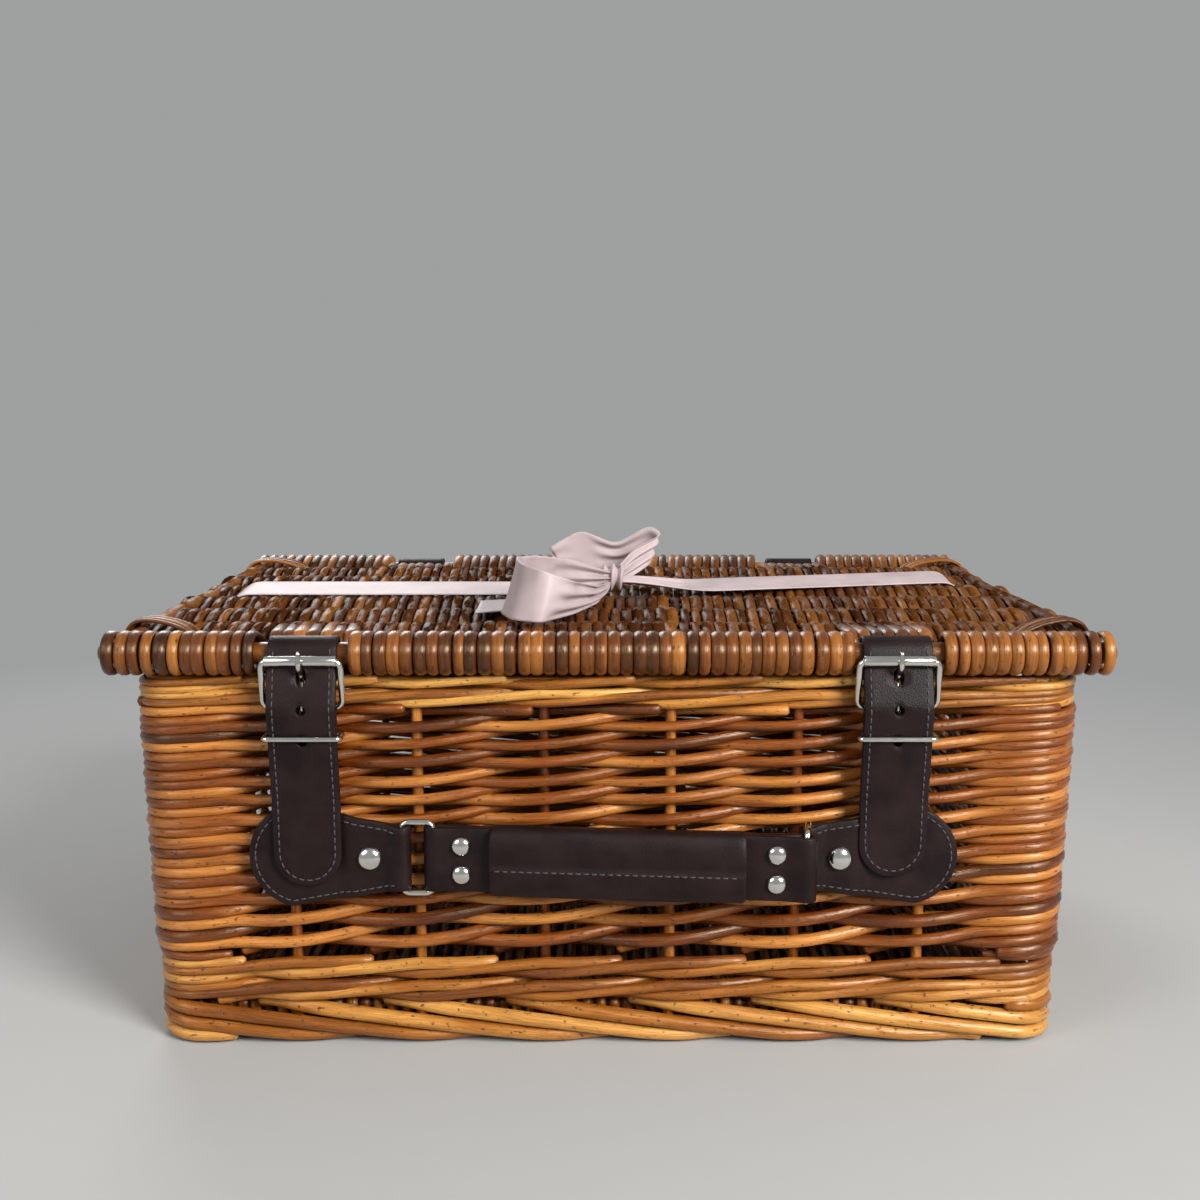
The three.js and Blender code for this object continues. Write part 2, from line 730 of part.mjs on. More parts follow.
for (const hand of ['left', 'right']) {
  const line = strapLine(hand);
  const front = pivotGroup(hamper, strapX[hand], 0, 0);
  const strap = crossing(
    alongX(strapSection(frontRodY, line, strapLeather, -1), strapWidth),
    alongY(strapOutline(hand), lidDepth, 0),
  );
  const rodPivot = pivotGroup(front, 0, frontRodY, lidMiddle);
  piece(rodPivot, `strap_${hand}`, strap.translate(0, -frontRodY, -lidMiddle), 'leather');
  piece(front, `chape_${hand}`, chape(), 'leather');

  const slope = (line[0].y - line[1].y) / (line[0].z - line[1].z);
  const rollerStand = strapLeather / 2 + (rollerDiameter / 2 + seatGap) * Math.hypot(1, slope);
  const bar = new THREE.Vector2(frontY(barOut, barHeight), barHeight);
  const roller = new THREE.Vector2(lineAt(line, rollerHeight) - rollerStand, rollerHeight);
  const span = bar.distanceTo(roller);
  const tilt = Math.atan2(bar.x - roller.x, roller.y - bar.y);
  const barPivot = pivotGroup(front, 0, bar.x, bar.y);
  const frame = wireLoop(buckleWidth, span + buckleWire, buckleWire).rotateX(Math.PI / 2);
  piece(barPivot, `buckle_${hand}`, frame.translate(0, 0, span / 2).rotateX(tilt), 'nickel');
  const rollerLength = buckleWidth - 2 * buckleWire - 2 * seatGap;
  const tube = piece(barPivot, `roller_${hand}`, rollerTube(rollerLength), 'nickel');
  tube.position.set(0, roller.x - bar.x, roller.y - bar.y);
  piece(barPivot, `prong_${hand}`, prong(line, bar, roller), 'nickel');

  const keeperBack = frontY(leatherSeat + keeperWire / 2, keeperHeight);
  const keeperFront = lineAt(line, keeperHeight) - strapLeather / 2 - seatGap - keeperWire / 2;
  const keeperWidth = strapWidth + 2 * seatGap + 2 * keeperWire;
  const keeper = wireLoop(keeperWidth, keeperBack - keeperFront + keeperWire, keeperWire);
  const keeperY = (keeperBack + keeperFront) / 2;
  piece(front, `keeper_${hand}`, keeper, 'nickel').position.set(0, keeperY, keeperHeight);
}

// Carrying handle, in a frame that leans with the front wall; outwards is -Y there

const wallLean = Math.atan2(wallFlare, bodyHeight);
const handleFrame = pivotGroup(hamper, 0, frontY(0, handleHeight), handleHeight);
handleFrame.rotation.x = wallLean;
const wireRadius = handleWire / 2;
const tabLoop = wireRadius + pivotGap + tabLeather;
const ringBarOut = leatherSeat + tabLoop;
const neck = ringHeight - 2 * handleWire - 2 * seatGap;

// Teardrop tab: doubled round the ring's bar, single under the closing strap
function teardropTab(hand, sign) {
  const bar = tabBarX[hand];
  const radius = tabEndRadius[hand];
  const reach = Math.abs(tabEndX[hand] - bar);
  const along = (u, v) => new THREE.Vector2(bar + sign * u, v);
  const doubled = leatherSeat + 2 * tabLeather;
  const far = reach + 2 * radius;
  const section = [
    along(far, -tabFace),
    along(far, -leatherSeat),
    ...arcPoints(0, -ringBarOut, tabLoop, turn / 4, turn - foldOpening, 9).map((p) => along(p.x, p.y)),
    along(2 * tabLoop, -doubled),
    along(tabFold, -doubled),
    along(tabFold, -tabFace),
  ];
  const hole = circlePoints(2 * (wireRadius + pivotGap), 10).map((p) => along(p.x, p.y - ringBarOut));
  const shoulder = tabLoop;
  const slant = Math.hypot(reach - shoulder, neck / 2);
  const tangent = Math.atan2(neck / 2, shoulder - reach) - Math.acos(radius / slant);
  const outline = [
    along(-2 * tabLoop, -neck / 2),
    along(-2 * tabLoop, neck / 2),
    along(shoulder, neck / 2),
    ...arcPoints(reach, 0, radius, tangent, -tangent, 14).map((p) => along(p.x, p.y)),
    along(shoulder, -neck / 2),
  ];
  return crossing(
    alongZ(shapeOf(section, [hole]), 3 * radius),
    alongY(shapeOf(outline), ringBarOut + 2 * tabLoop, 0),
  );
}

function placeRivet(parent, name, diameter, x, face, z) {
  const rivet = piece(parent, name, domeRivet(diameter).rotateX(Math.PI), 'nickel');
  rivet.position.set(x, -face - seatGap, z);
}

function handleRing(sign) {
  const loop = wireLoop(ringSpan + handleWire, ringHeight, handleWire).rotateX(Math.PI / 2);
  return loop.translate((sign * ringSpan) / 2, 0, 0);
}

for (const [hand, sign] of [['left', -1], ['right', 1]]) {
  piece(handleFrame, `tab_${hand}`, teardropTab(hand, sign), 'leather');
  const rivetX = tabBarX[hand] + sign * tabRivetSetback;
  placeRivet(handleFrame, `tab_rivet_${hand}`, tabRivetDiameter, rivetX, leatherSeat + 2 * tabLeather, 0);
  const ringPivot = pivotGroup(handleFrame, tabBarX[hand], -ringBarOut, 0);
  ringPivot.rotation.z = hand === 'right' ? ringSwing : 0;
  piece(ringPivot, `ring_${hand}`, handleRing(-sign), 'nickel');
}

// Handle strap, folded round the outer bars of both rings; its right-hand fold is long, so it can shift
const leftBarX = tabBarX.left + ringSpan;
const rightBarX = tabBarX.right - ringSpan * Math.cos(ringSwing);
const rightBarOut = ringSpan * Math.sin(ringSwing);
const handleSpan = Math.hypot(rightBarX - leftBarX, rightBarOut);
const handlePivot = pivotGroup(handleFrame, leftBarX, -ringBarOut, 0);
handlePivot.rotation.z = -Math.atan2(rightBarOut, rightBarX - leftBarX);

function handleStrap() {
  const looseHole = wireRadius + 2 * pivotGap;
  const looseLoop = looseHole + tabLeather;
  const opened = foldOpening;
  const flat = 2 * tabLoop;
  const section = [
    ...arcPoints(0, 0, tabLoop, opened, turn - opened, 9),
    new THREE.Vector2(flat, -tabLeather),
    new THREE.Vector2(handleSpan - flat - pivotSlack, -tabLeather),
    ...arcPoints(handleSpan, 0, looseLoop, opened - turn / 2, turn / 2 - opened, 9),
    new THREE.Vector2(handleSpan - flat - pivotSlack, tabLeather),
    new THREE.Vector2(flat, tabLeather),
  ];
  const hole = circlePoints(2 * (wireRadius + pivotGap), 10);
  const longHole = [
    ...arcPoints(handleSpan, 0, looseHole, -turn / 4, turn / 4, 5),
    ...arcPoints(handleSpan - pivotSlack, 0, looseHole, turn / 4, 0.75 * turn, 5),
  ];
  const [nearEnd, farEnd] = [handleEndLength, handleSpan - handleEndLength];
  const [tall, low] = [neck / 2, handleCore / 2];
  const outline = [
    [-flat, -tall],
    [nearEnd, -tall],
    [nearEnd, -low],
    [farEnd, -low],
    [farEnd, -tall],
    [handleSpan + flat, -tall],
    [handleSpan + flat, tall],
    [farEnd, tall],
    [farEnd, low],
    [nearEnd, low],
    [nearEnd, tall],
    [-flat, tall],
  ].map(([x, z]) => new THREE.Vector2(x, z));
  const folded = alongZ(shapeOf(section, [hole, longHole]), 2 * neck);
  return crossing(folded, alongY(shapeOf(outline), 4 * tabLoop, 2 * tabLoop));
}

piece(handlePivot, 'handle_strap', handleStrap(), 'leather');

const gripLength = handleSpan - 2 * handleEndLength - 2 * seatGap;
const gripThickness = gripBack + gripFront;
const gripShift = new THREE.Vector2((gripBack - gripFront) / 2, 0);
const gripCorner = 0.4 * gripThickness;
const gripOutline = roundedRectangle(gripThickness, gripHeight, gripCorner).map((p) => p.add(gripShift));
const gripBore = roundedRectangle(2 * (tabLeather + seatGap), handleCore + 2 * seatGap, seatGap);
const gripSleeve = alongX(shapeOf(gripOutline, [gripBore]), gripLength);
piece(handlePivot, 'handle_grip', gripSleeve, 'leather').position.x = handleSpan / 2;

for (const [hand, x] of [['left', handleRivetSetback], ['right', handleSpan - handleRivetSetback]]) {
  for (const [level, sign] of [['upper', 1], ['lower', -1]]) {
    const name = `handle_rivet_${hand}_${level}`;
    placeRivet(handlePivot, name, handleRivetDiameter, x, tabLeather, (sign * handleRivetSpacing) / 2);
  }
}

// Ribbon across the lid, tied in a bow

const ribbonSeat = panelTop + seatGap;
const bandHeight = 1.4 * ribbonThickness;
const ribbonReach = panelWidth / 2 - ribbonInset;

// One edge of the ribbon across the lid, from left to right, gathered under the knot
function ribbonEdge(sign) {
  const wide = (sign * ribbonWidth) / 2;
  const gathered = (sign * gatherWidth) / 2;
  const slope = (ribbonEndY.right - knotY) / (ribbonReach - knotX);
  return [
    [-ribbonReach, ribbonEndY.left + wide],
    [knotX - gatherReach, knotY + wide],
    [knotX, knotY + gathered],
    [knotX + gatherReach, knotY + slope * gatherReach + wide],
    [ribbonReach, ribbonEndY.right + wide],
  ].map(([x, y]) => new THREE.Vector2(x, y));
}

const ribbonOutline = shapeOf([...ribbonEdge(-1), ...ribbonEdge(1).reverse()]);
const ribbonBand = piece(hamper, 'ribbon_band', alongZ(ribbonOutline, bandHeight), 'satin');
ribbonBand.position.z = ribbonSeat + bandHeight / 2;

const knotSeat = ribbonSeat + bandHeight + seatGap;
const knotBall = new THREE.SphereGeometry(0.5, 10, 6).scale(knotLength, knotDepth, knotHeight);
const bow = pivotGroup(hamper, knotX, knotY, knotSeat);
piece(bow, 'bow_knot', knotBall, 'satin').position.z = knotHeight / 2;

// Loop of ribbon standing on its edge: pointed at the knot and round at its far end
function bowLoop(length, width) {
  const drop = (from, inset) =>
    Array.from({ length: loopSteps }, (_, i) => {
      const angle = (turn * i) / loopSteps;
      const x = from + ((length - 2 * from) * (1 - Math.cos(angle))) / 2;
      return new THREE.Vector2(x, (width / 2 - inset) * Math.sin(angle) * Math.sin(angle / 2));
    });
  const inside = drop(3 * ribbonThickness, 1.5 * ribbonThickness);
  return alongZ(shapeOf(drop(0, 0), [inside]), ribbonWidth).translate(0, 0, ribbonWidth / 2);
}

for (const [hand, { heading, length, width, rise }] of Object.entries(loops)) {
  const group = pivotGroup(bow, 0, 0, 0);
  const angle = THREE.MathUtils.degToRad(heading);
  group.rotation.z = angle;
  const loop = piece(group, `bow_loop_${hand}`, bowLoop(length, width), 'satin');
  const knotReach = 0.5 / Math.hypot(Math.cos(angle) / knotLength, Math.sin(angle) / knotDepth);
  loop.position.set(knotReach + seatGap, 0, rise);
}

// Stand the hamper on the floor with its box centred on the origin
hamper.updateMatrixWorld(true);
const box = new THREE.Box3().setFromObject(hamper, true);
hamper.position.set(-(box.min.x + box.max.x) / 2, -(box.min.y + box.max.y) / 2, -box.min.z);

const part = new THREE.Group();
part.add(hamper);

export default part;
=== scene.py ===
"""Looks of a wicker hamper: woven willow rods, leather, nickel and satin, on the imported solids' frame."""

import math

import bmesh
import bpy
import numpy as np
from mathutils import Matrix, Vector
from mathutils.geometry import delaunay_2d_cdt


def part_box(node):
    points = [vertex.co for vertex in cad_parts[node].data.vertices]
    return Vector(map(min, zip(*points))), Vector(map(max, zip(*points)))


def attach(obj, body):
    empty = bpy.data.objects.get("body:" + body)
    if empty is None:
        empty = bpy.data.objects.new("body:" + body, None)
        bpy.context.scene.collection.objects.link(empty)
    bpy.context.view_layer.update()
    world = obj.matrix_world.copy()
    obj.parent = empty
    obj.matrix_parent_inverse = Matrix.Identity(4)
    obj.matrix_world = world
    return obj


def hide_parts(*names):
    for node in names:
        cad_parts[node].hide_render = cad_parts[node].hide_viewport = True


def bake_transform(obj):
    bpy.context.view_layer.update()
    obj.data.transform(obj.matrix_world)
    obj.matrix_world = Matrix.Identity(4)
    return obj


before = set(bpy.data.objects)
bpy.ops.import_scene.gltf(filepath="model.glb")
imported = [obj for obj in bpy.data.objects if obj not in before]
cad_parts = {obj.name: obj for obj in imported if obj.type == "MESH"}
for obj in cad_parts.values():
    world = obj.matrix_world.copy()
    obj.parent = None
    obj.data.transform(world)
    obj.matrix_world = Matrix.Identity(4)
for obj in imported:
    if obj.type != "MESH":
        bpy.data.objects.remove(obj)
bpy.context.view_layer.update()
MM = 0.001
TURN = 2 * math.pi
rng = np.random.RandomState(7)
X, Y, Z = np.eye(3)

# Sizes that the solids share, in millimetres; the body's own middle lies SHIFT behind the origin
SHIFT = 0.5 / MM * (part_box("rim_front")[0].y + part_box("rim_back")[1].y)
HALF_X, HALF_Y, HEIGHT, FLARE, CORNER = 190.5, 138.0, 160.0, 5.5, 13.0
STAKE_PITCH, STAKE_R = 52.5, 2.3
HANDS = ("left", "right")

# Stakes of each side, its half length and its half distance from the middle. A place is a stake or a corner,
# and the walls turn each corner within CORNER_PART of a place on either side of it.
SIDES = ((6, HALF_X, HALF_Y), (4, HALF_Y, HALF_X), (6, HALF_X, HALF_Y), (4, HALF_Y, HALF_X))
PLACES = sum(n + 1 for n, _, _ in SIDES)
CORNERS = (0, 7, 12, 19)
FRONT_MIDDLE = 3.5
CORNER_PART = 0.25


def flared(half, z):
    return half - FLARE * (1 - z / HEIGHT)


def on_wall(s, z, out):
    """Points on the woven wall. s counts stakes and corners from the front left corner, anticlockwise."""
    s, z, out = np.broadcast_arrays(np.asarray(s, float) % PLACES % PLACES, z, out)
    points = np.zeros(s.shape + (3,))
    start = 0
    for quarter, (n, along, away) in enumerate(SIDES):
        q = s - start
        here = (q >= 0) & (q < n + 1)
        a, b = flared(along, z) - CORNER, flared(away, z) - CORNER
        first = -(n - 1) / 2 * STAKE_PITCH
        x = first + (np.clip(q, 1, n) - 1) * STAKE_PITCH
        run = 1 - CORNER_PART
        x = np.where(q < 1, -a + (first + a) * (np.clip(q, CORNER_PART, 1) - CORNER_PART) / run, x)
        x = np.where(q > n, -first + (a + first) * (np.clip(q, n, n + run) - n) / run, x)
        turn = np.clip(q - n - run, 0, CORNER_PART) - np.clip(CORNER_PART - q, 0, CORNER_PART)
        bend = turn * math.pi
        x = x + (CORNER + out) * np.sin(bend)
        y = -b - (CORNER + out) * np.cos(bend)
        c, d = ((1, 0), (0, 1), (-1, 0), (0, -1))[quarter]
        points[here] = np.stack([c * x - d * y, d * x + c * y + SHIFT, z], -1)[here]
        start += n + 1
    return points


def smooth(t):
    t = np.clip(t, 0, 1)
    return t * t * (3 - 2 * t)


def corner_share(s):
    """1 at a corner, 0 more than a stake away."""
    s = np.asarray(s, float)
    gap = np.min([np.abs((s - c + PLACES / 2) % PLACES - PLACES / 2) for c in CORNERS], 0)
    return 1 - smooth((gap - 0.3) / 0.5)


def front_share(s):
    """1 at the middle of the front, -1 at the opposite place."""
    return np.cos(TURN * (s - FRONT_MIDDLE) / PLACES)


def eased(values):
    """The values with their corners taken off by a running mean of five."""
    return np.convolve(np.pad(values, 2, mode="edge"), np.ones(5) / 5, mode="valid")


def joined(x, y, z):
    """Points from coordinates, each a row of numbers or a single one."""
    return np.stack(np.broadcast_arrays(x, y, z), -1)


def around(prefix):
    """The names of the solids of all four sides."""
    return [f"{prefix}_{side}" for side in ("front", "right", "back", "left")]


def note(mesh, name, values, kind="VECTOR"):
    """Keep values on a mesh's points, for its material to read."""
    layer = mesh.attributes.new(name, f"FLOAT_{kind}", "POINT")
    layer.data.foreach_set(kind.lower(), np.ravel(values))


def face_out(mesh):
    """Turn the faces of a closed mesh outwards and shade it smooth."""
    work = bmesh.new()
    work.from_mesh(mesh)
    bmesh.ops.recalc_face_normals(work, faces=work.faces)
    work.to_mesh(mesh)
    work.free()
    mesh.shade_smooth()


class Rods:
    """Round rods gathered into one mesh, with what their material needs to know kept on the points."""

    TIP_LENGTH, TIP_R = 0.45, 0.6

    def __init__(self):
        self.points, self.faces, self.grain, self.rod = [], [], [], []
        self.count = 0

    def add(self, path, radius, ref, age=0.0, sides=8, tip=True, closed=False, form=(1.0, 1.0)):
        """One rod along a path. ref is a direction that is never along it, form its width and height."""
        path = np.asarray(path, float)
        n = len(path)
        radius = np.broadcast_to(np.asarray(radius, float), n).copy()
        age = np.broadcast_to(np.asarray(age, float), n)
        t = np.roll(path, -1, 0) - np.roll(path, 1, 0) if closed else np.gradient(path, axis=0)
        t /= np.linalg.norm(t, axis=1)[:, None]
        if tip and not closed:
            reach = self.TIP_LENGTH * radius
            path = np.vstack([path[0] - reach[0] * t[0], path, path[-1] + reach[-1] * t[-1]])
            t = np.vstack([t[0], t, t[-1]])
            radius = np.concatenate([[self.TIP_R * radius[0]], radius, [self.TIP_R * radius[-1]]])
            age = np.concatenate([[age[0]], age, [age[-1]]])
            n += 2
        a = ref - t * (t @ ref)[:, None]
        a /= np.linalg.norm(a, axis=1)[:, None]
        b = np.cross(t, a)
        angle = TURN * np.arange(sides) / sides
        across, above = form[0] * np.cos(angle), form[1] * np.sin(angle)
        ring = across[None, :, None] * a[:, None] + above[None, :, None] * b[:, None]
        self.points.append((path[:, None] + radius[:, None, None] * ring).reshape(-1, 3))
        along = np.concatenate([[0], np.cumsum(np.linalg.norm(np.diff(path, axis=0), axis=1))])
        offset = rng.uniform(0, 5000)
        self.grain.append(joined(np.cos(angle), np.sin(angle), (along + offset)[:, None]).reshape(-1, 3))
        shade = rng.uniform(0, 1)
        made = np.stack(np.broadcast_arrays(shade, age[:, None], (offset % 10) / 10, np.ones((n, sides))), -1)
        self.rod.append(made.reshape(-1, 4))
        i, j = np.meshgrid(np.arange(n if closed else n - 1), np.arange(sides), indexing="ij")
        k, h = (j + 1) % sides, (i + 1) % n
        quads = np.stack([i * sides + j, i * sides + k, h * sides + k, h * sides + j], -1)
        self.faces += (quads.reshape(-1, 4) + self.count).tolist()
        if not closed:
            self.faces.append((self.count + np.arange(sides)[::-1]).tolist())
            self.faces.append((self.count + (n - 1) * sides + np.arange(sides)).tolist())
        self.count += n * sides

    def make(self, name, material, body, slot, *nodes):
        mesh = bpy.data.meshes.new(name)
        mesh.from_pydata((np.vstack(self.points) * MM).tolist(), [], self.faces)
        note(mesh, "grain", np.vstack(self.grain))
        note(mesh, "rod", np.vstack(self.rod), "COLOR")
        mesh.shade_smooth()
        return place(mesh, material, body, slot, *nodes)


def place(mesh, material, body, slot, *nodes):
    """An object for a finished mesh, with its material and body and the solids that it stands for; slot is not
    used.
    """
    mesh.materials.append(material)
    made = bpy.data.objects.new(mesh.name, mesh)
    bpy.context.scene.collection.objects.link(made)
    if body:
        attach(made, body)
    if nodes:
        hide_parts(*nodes)
    return made


# Materials


class Nodes:
    """Short ways to add shader nodes to a new material."""

    def __init__(self, name):
        self.material = bpy.data.materials.new(name)
        self.material.use_nodes = True
        self.tree = self.material.node_tree
        self.shader = self.tree.nodes["Principled BSDF"]

    def add(self, kind, inputs=None, **settings):
        node = self.tree.nodes.new("ShaderNode" + kind)
        for key, value in settings.items():
            setattr(node, key, value)
        for key, value in (inputs or {}).items():
            self.link(value, node.inputs[key])
        return node

    def link(self, value, socket):
        if isinstance(value, bpy.types.NodeSocket):
            self.tree.links.new(value, socket)
        else:
            socket.default_value = value

    def set(self, **inputs):
        for key, value in inputs.items():
            self.link(value, self.shader.inputs[key.replace("_", " ")])

    def attribute(self, name, output="Vector"):
        return self.add("Attribute", attribute_name=name).outputs[output]

    def stretched(self, vector, scale):
        return self.add("VectorMath", {0: vector, 1: scale}, operation="MULTIPLY").outputs[0]

    def noise(self, vector, scale, detail=3.0, rough=0.55):
        made = self.add("TexNoise", {"Vector": vector, "Scale": scale, "Detail": detail, "Roughness": rough})
        return made.outputs["Fac"]

    def ramp(self, value, *stops):
        made = self.add("ValToRGB", {"Fac": value})
        points = made.color_ramp.elements
        while len(points) < len(stops):
            points.new(0.5)
        for point, (at, colour) in zip(points, stops):
            point.position = at
            point.color = (*colour, 1) if isinstance(colour, tuple) else (colour, colour, colour, 1)
        return made.outputs["Color"]

    def mix(self, share, a, b, kind="MIX"):
        made = self.add("Mix", data_type="RGBA", blend_type=kind)
        for value, socket in ((share, made.inputs[0]), (a, made.inputs[6]), (b, made.inputs[7])):
            self.link((*value, 1) if isinstance(value, tuple) else value, socket)
        return made.outputs[2]

    def maths(self, kind, a, b=0.5, c=0.5):
        return self.add("Math", {0: a, 1: b, 2: c}, operation=kind).outputs[0]

    def bump(self, height, strength, distance):
        made = self.add("Bump", {"Height": height, "Strength": strength, "Distance": distance})
        self.link(made.outputs["Normal"], self.shader.inputs["Normal"])


BARK = (0.022, 0.008, 0.004)
VARNISH_TINT = (1.0, 0.72, 0.45, 1.0)


def willow(name, low, middle, high, aged, gloss):
    """Varnished willow: colour from rod to rod and along each rod, bark flecks, fibres along the rod."""
    m = Nodes(name)
    grain = m.attribute("grain")
    parts = m.add("SeparateColor", {"Color": m.attribute("rod", "Color")})
    tone, age = parts.outputs[0], parts.outputs[1]
    patches = m.noise(m.stretched(grain, (0.5, 0.5, 0.022)), 1.0, 3)
    fibres = m.noise(m.stretched(grain, (5.0, 5.0, 0.09)), 1.0, 4, 0.6)
    value = m.maths("MULTIPLY_ADD", tone, 0.42, m.maths("MULTIPLY", patches, 0.62))
    colour = m.ramp(value, (0.28, low), (0.5, middle), (0.72, high))
    streaks = m.ramp(fibres, (0.3, 0.5), (0.62, 1.0))
    colour = m.mix(0.75, colour, streaks, "MULTIPLY")
    flecks = m.noise(m.stretched(grain, (1.3, 1.3, 0.28)), 1.0, 4, 0.7)
    spots = m.ramp(flecks, (0.6, 0.0), (0.66, 1.0))
    colour = m.mix(m.maths("MULTIPLY", spots, 0.85), colour, BARK)
    dust = m.noise(m.stretched(grain, (0.8, 0.8, 0.1)), 1.0, 3)
    weathered = m.maths("MULTIPLY", age, m.ramp(dust, (0.25, 0.55), (0.7, 1.0)))
    colour = m.mix(weathered, colour, m.mix(fibres, tuple(0.6 * c for c in aged), aged))
    rough = m.maths("MULTIPLY_ADD", fibres, 0.22, m.maths("MULTIPLY_ADD", weathered, 0.2, gloss))
    shine = m.maths("MULTIPLY_ADD", weathered, -1.2, 0.6)
    varnish = m.maths("MULTIPLY_ADD", weathered, -0.5, 0.25)
    m.set(Base_Color=colour, Roughness=rough, Specular_IOR_Level=shine, Specular_Tint=VARNISH_TINT)
    m.set(Coat_Weight=varnish, Coat_Roughness=0.24)
    m.bump(m.maths("ADD", fibres, m.maths("MULTIPLY", spots, -0.9)), 0.55, 0.0005)
    return m.material


WALL_WILLOW = willow(
    "wall_willow", (0.055, 0.0095, 0.0012), (0.21, 0.047, 0.004), (0.54, 0.2, 0.038), (0.16, 0.06, 0.02), 0.17
)
# The rim's willow is the pale willow made brighter: painted light that stands in for the light falling on the
# rim under the lid.
RIM_WILLOW_PAINTED_LIGHT = willow(
    "rim_willow_painted_light", (0.17, 0.044, 0.005), (0.44, 0.16, 0.02), (0.7, 0.37, 0.09), (0.3, 0.2, 0.1), 0.18
)
PALE_WILLOW = willow(
    "pale_willow", (0.13, 0.03, 0.0035), (0.32, 0.1, 0.011), (0.6, 0.28, 0.06), (0.3, 0.2, 0.1), 0.18
)
LID_WILLOW = willow(
    "lid_willow", (0.03, 0.006, 0.001), (0.125, 0.031, 0.004), (0.36, 0.125, 0.021), (0.05, 0.021, 0.009), 0.2
)

# Woven walls: slanted rods that pass outside one stake and inside the next. Each rod climbs through all
# LEVELS, one for each stake it passes. KINK is its dip outside a stake, in levels, and WARP how far the weave
# rises at the middle of the front.

LEVELS, KINK, WARP = 25.0, 0.17, 1.3
STAKE_LOW, STAKE_HIGH = 6, 153
POST_LOW, POST_HIGH, POST_IN, POST_R = 16.3, 159.7, 11.2, 4.9
FILLER_Z, FILLER_OUT, FILLER_R = 38.5, 4.6, 2.0


def level_height(i):
    return 41.8 + 4.78 * i - 0.0225 * i * i


def level_radius(i):
    return 2.8 - 0.022 * i


walls = Rods()
for k in range(PLACES):
    i = np.arange(-0.4, LEVELS, 0.1)
    s = k + i
    r = level_radius(i) * rng.uniform(0.9, 1.06)
    swing = -np.cos(math.pi * i)
    share = corner_share(s)
    out = (STAKE_R + r) * (swing + (1 - swing) * share)
    wander = 0.35 * np.sin(s * rng.uniform(1.1, 1.9) + rng.uniform(0, TURN))
    z = level_height(i - KINK * (1 + swing) * (1 - share)) + wander
    z = z + WARP * front_share(s) * (1 - 0.8 * i / LEVELS)
    walls.add(on_wall(s, z, out), r, Z)
for s in range(PLACES):
    if s not in CORNERS:
        z = np.linspace(STAKE_LOW, STAKE_HIGH, 12)
        walls.add(on_wall(s, z, 0.25 * np.sin(z / 9 + s)), STAKE_R, X + Y)
for c in CORNERS:
    walls.add(on_wall(c, np.linspace(POST_LOW, POST_HIGH, 8), -POST_IN), POST_R, X, sides=12)

# A short rod round each corner fills the weave there, between the lower wale and the first slanted rods
for c in CORNERS:
    s = c + np.linspace(-0.5, 0.5, 21)
    out = FILLER_OUT - 14 * np.maximum(np.abs(s - c) - 0.3, 0)
    walls.add(on_wall(s, FILLER_Z + 0.7 * front_share(s), out), FILLER_R, Z)
posts = [f"post_{w}_{h}" for w in ("front", "back") for h in HANDS]
walls.make("woven_walls", WALL_WILLOW, "basket", "willow", *around("wall"), *posts)


# Wales: rods that pass outside two stakes and inside the third


def wale(rods, bottom, step, radius, first, last):
    """One rod from each place, from its first to its last stake; rows are a step apart."""
    rise = ([-0.3, 0.7, 1.0, 2.0, 2.7], [-1, 0, 0, 1, 1])
    depth = ([-0.3, 0.0, 0.4, 0.7, 1.0, 2.4, 2.7], [0, -1, -1, 0, 1, 1, 0])
    for k in range(PLACES):
        i = np.arange(first, last, 0.1)
        s = k + i
        cycle = np.floor((i + 0.3) / 3)
        j = i - 3 * cycle
        share = corner_share(s)
        r = radius * rng.uniform(0.9, 1.05) * (1 - 0.2 * share)
        swing = eased(np.interp(j, *depth))
        out = (STAKE_R + r) * (swing + (1 - swing) * share)
        rows = 2 * cycle + np.interp(j, *rise)
        rows = rows + ((i - 1) * 2 / 3 - rows) * share
        z = bottom + step * rows + rng.uniform(-0.3, 0.3)
        rods.add(on_wall(s, z, out), r, Z)


pale = Rods()
wale(pale, 21.0, 5.1, 2.55, 0.4, 5.7)
pale.make("lower_wale", PALE_WILLOW, "basket", "willow_pale", *around("lower_wale"))

# Rim: a wale, and two rods that cover the ends of the stakes
rim = Rods()
wale(rim, 148.0, 4.05, 2.15, 0.4, 4.8)
for z, out in ((156.6, -3.6), (157.6, 0.6)):
    s = np.linspace(0, PLACES, 481)[:-1]
    rim.add(on_wall(s, z + 0.4 * np.sin(s * 1.7), out + 0.3 * np.sin(s * 2.3)), 2.1, Z, closed=True)
# The rim takes the pale willow brightened with painted light.
rim.make("rim_border", RIM_WILLOW_PAINTED_LIGHT, "basket", "willow_pale", *around("rim"))

# Foot: thick rods that leave each stake and sweep down along the floor
foot = Rods()
for k in range(PLACES):
    i = np.linspace(-0.3, 2.5, 30)
    drop = rng.uniform(-0.3, 0.3)
    z = np.interp(i, [-0.3, 0, 0.2, 1, 2, 2.5], [17.4, 16.6, 15.6, 9.9, 3.5, 3.5])
    z = eased(z) + drop * (i < 1.5)
    out = np.interp(i, [-0.3, 0.0, 0.2, 1.0, 2.0, 2.3, 2.5], [-4.5, 2.0, 4.3, 4.8, 4.2, 1.5, -2.0])
    out = eased(out)
    share = corner_share(k + i)
    r = np.interp(i, [-0.3, 0.2, 2.5], [3.0, 3.3, 2.9]) * rng.uniform(0.95, 1.03)
    foot.add(on_wall(k + i, np.maximum(z, r + 0.1), out + (4.2 - out) * share), r, Z)
foot.make("foot_border", PALE_WILLOW, "basket", "willow_pale", *around("foot"))


# Woven panels: strands run front to back over sticks, and wrap round the front and back rods


SKEIN, AGE = 0.72, 0.6


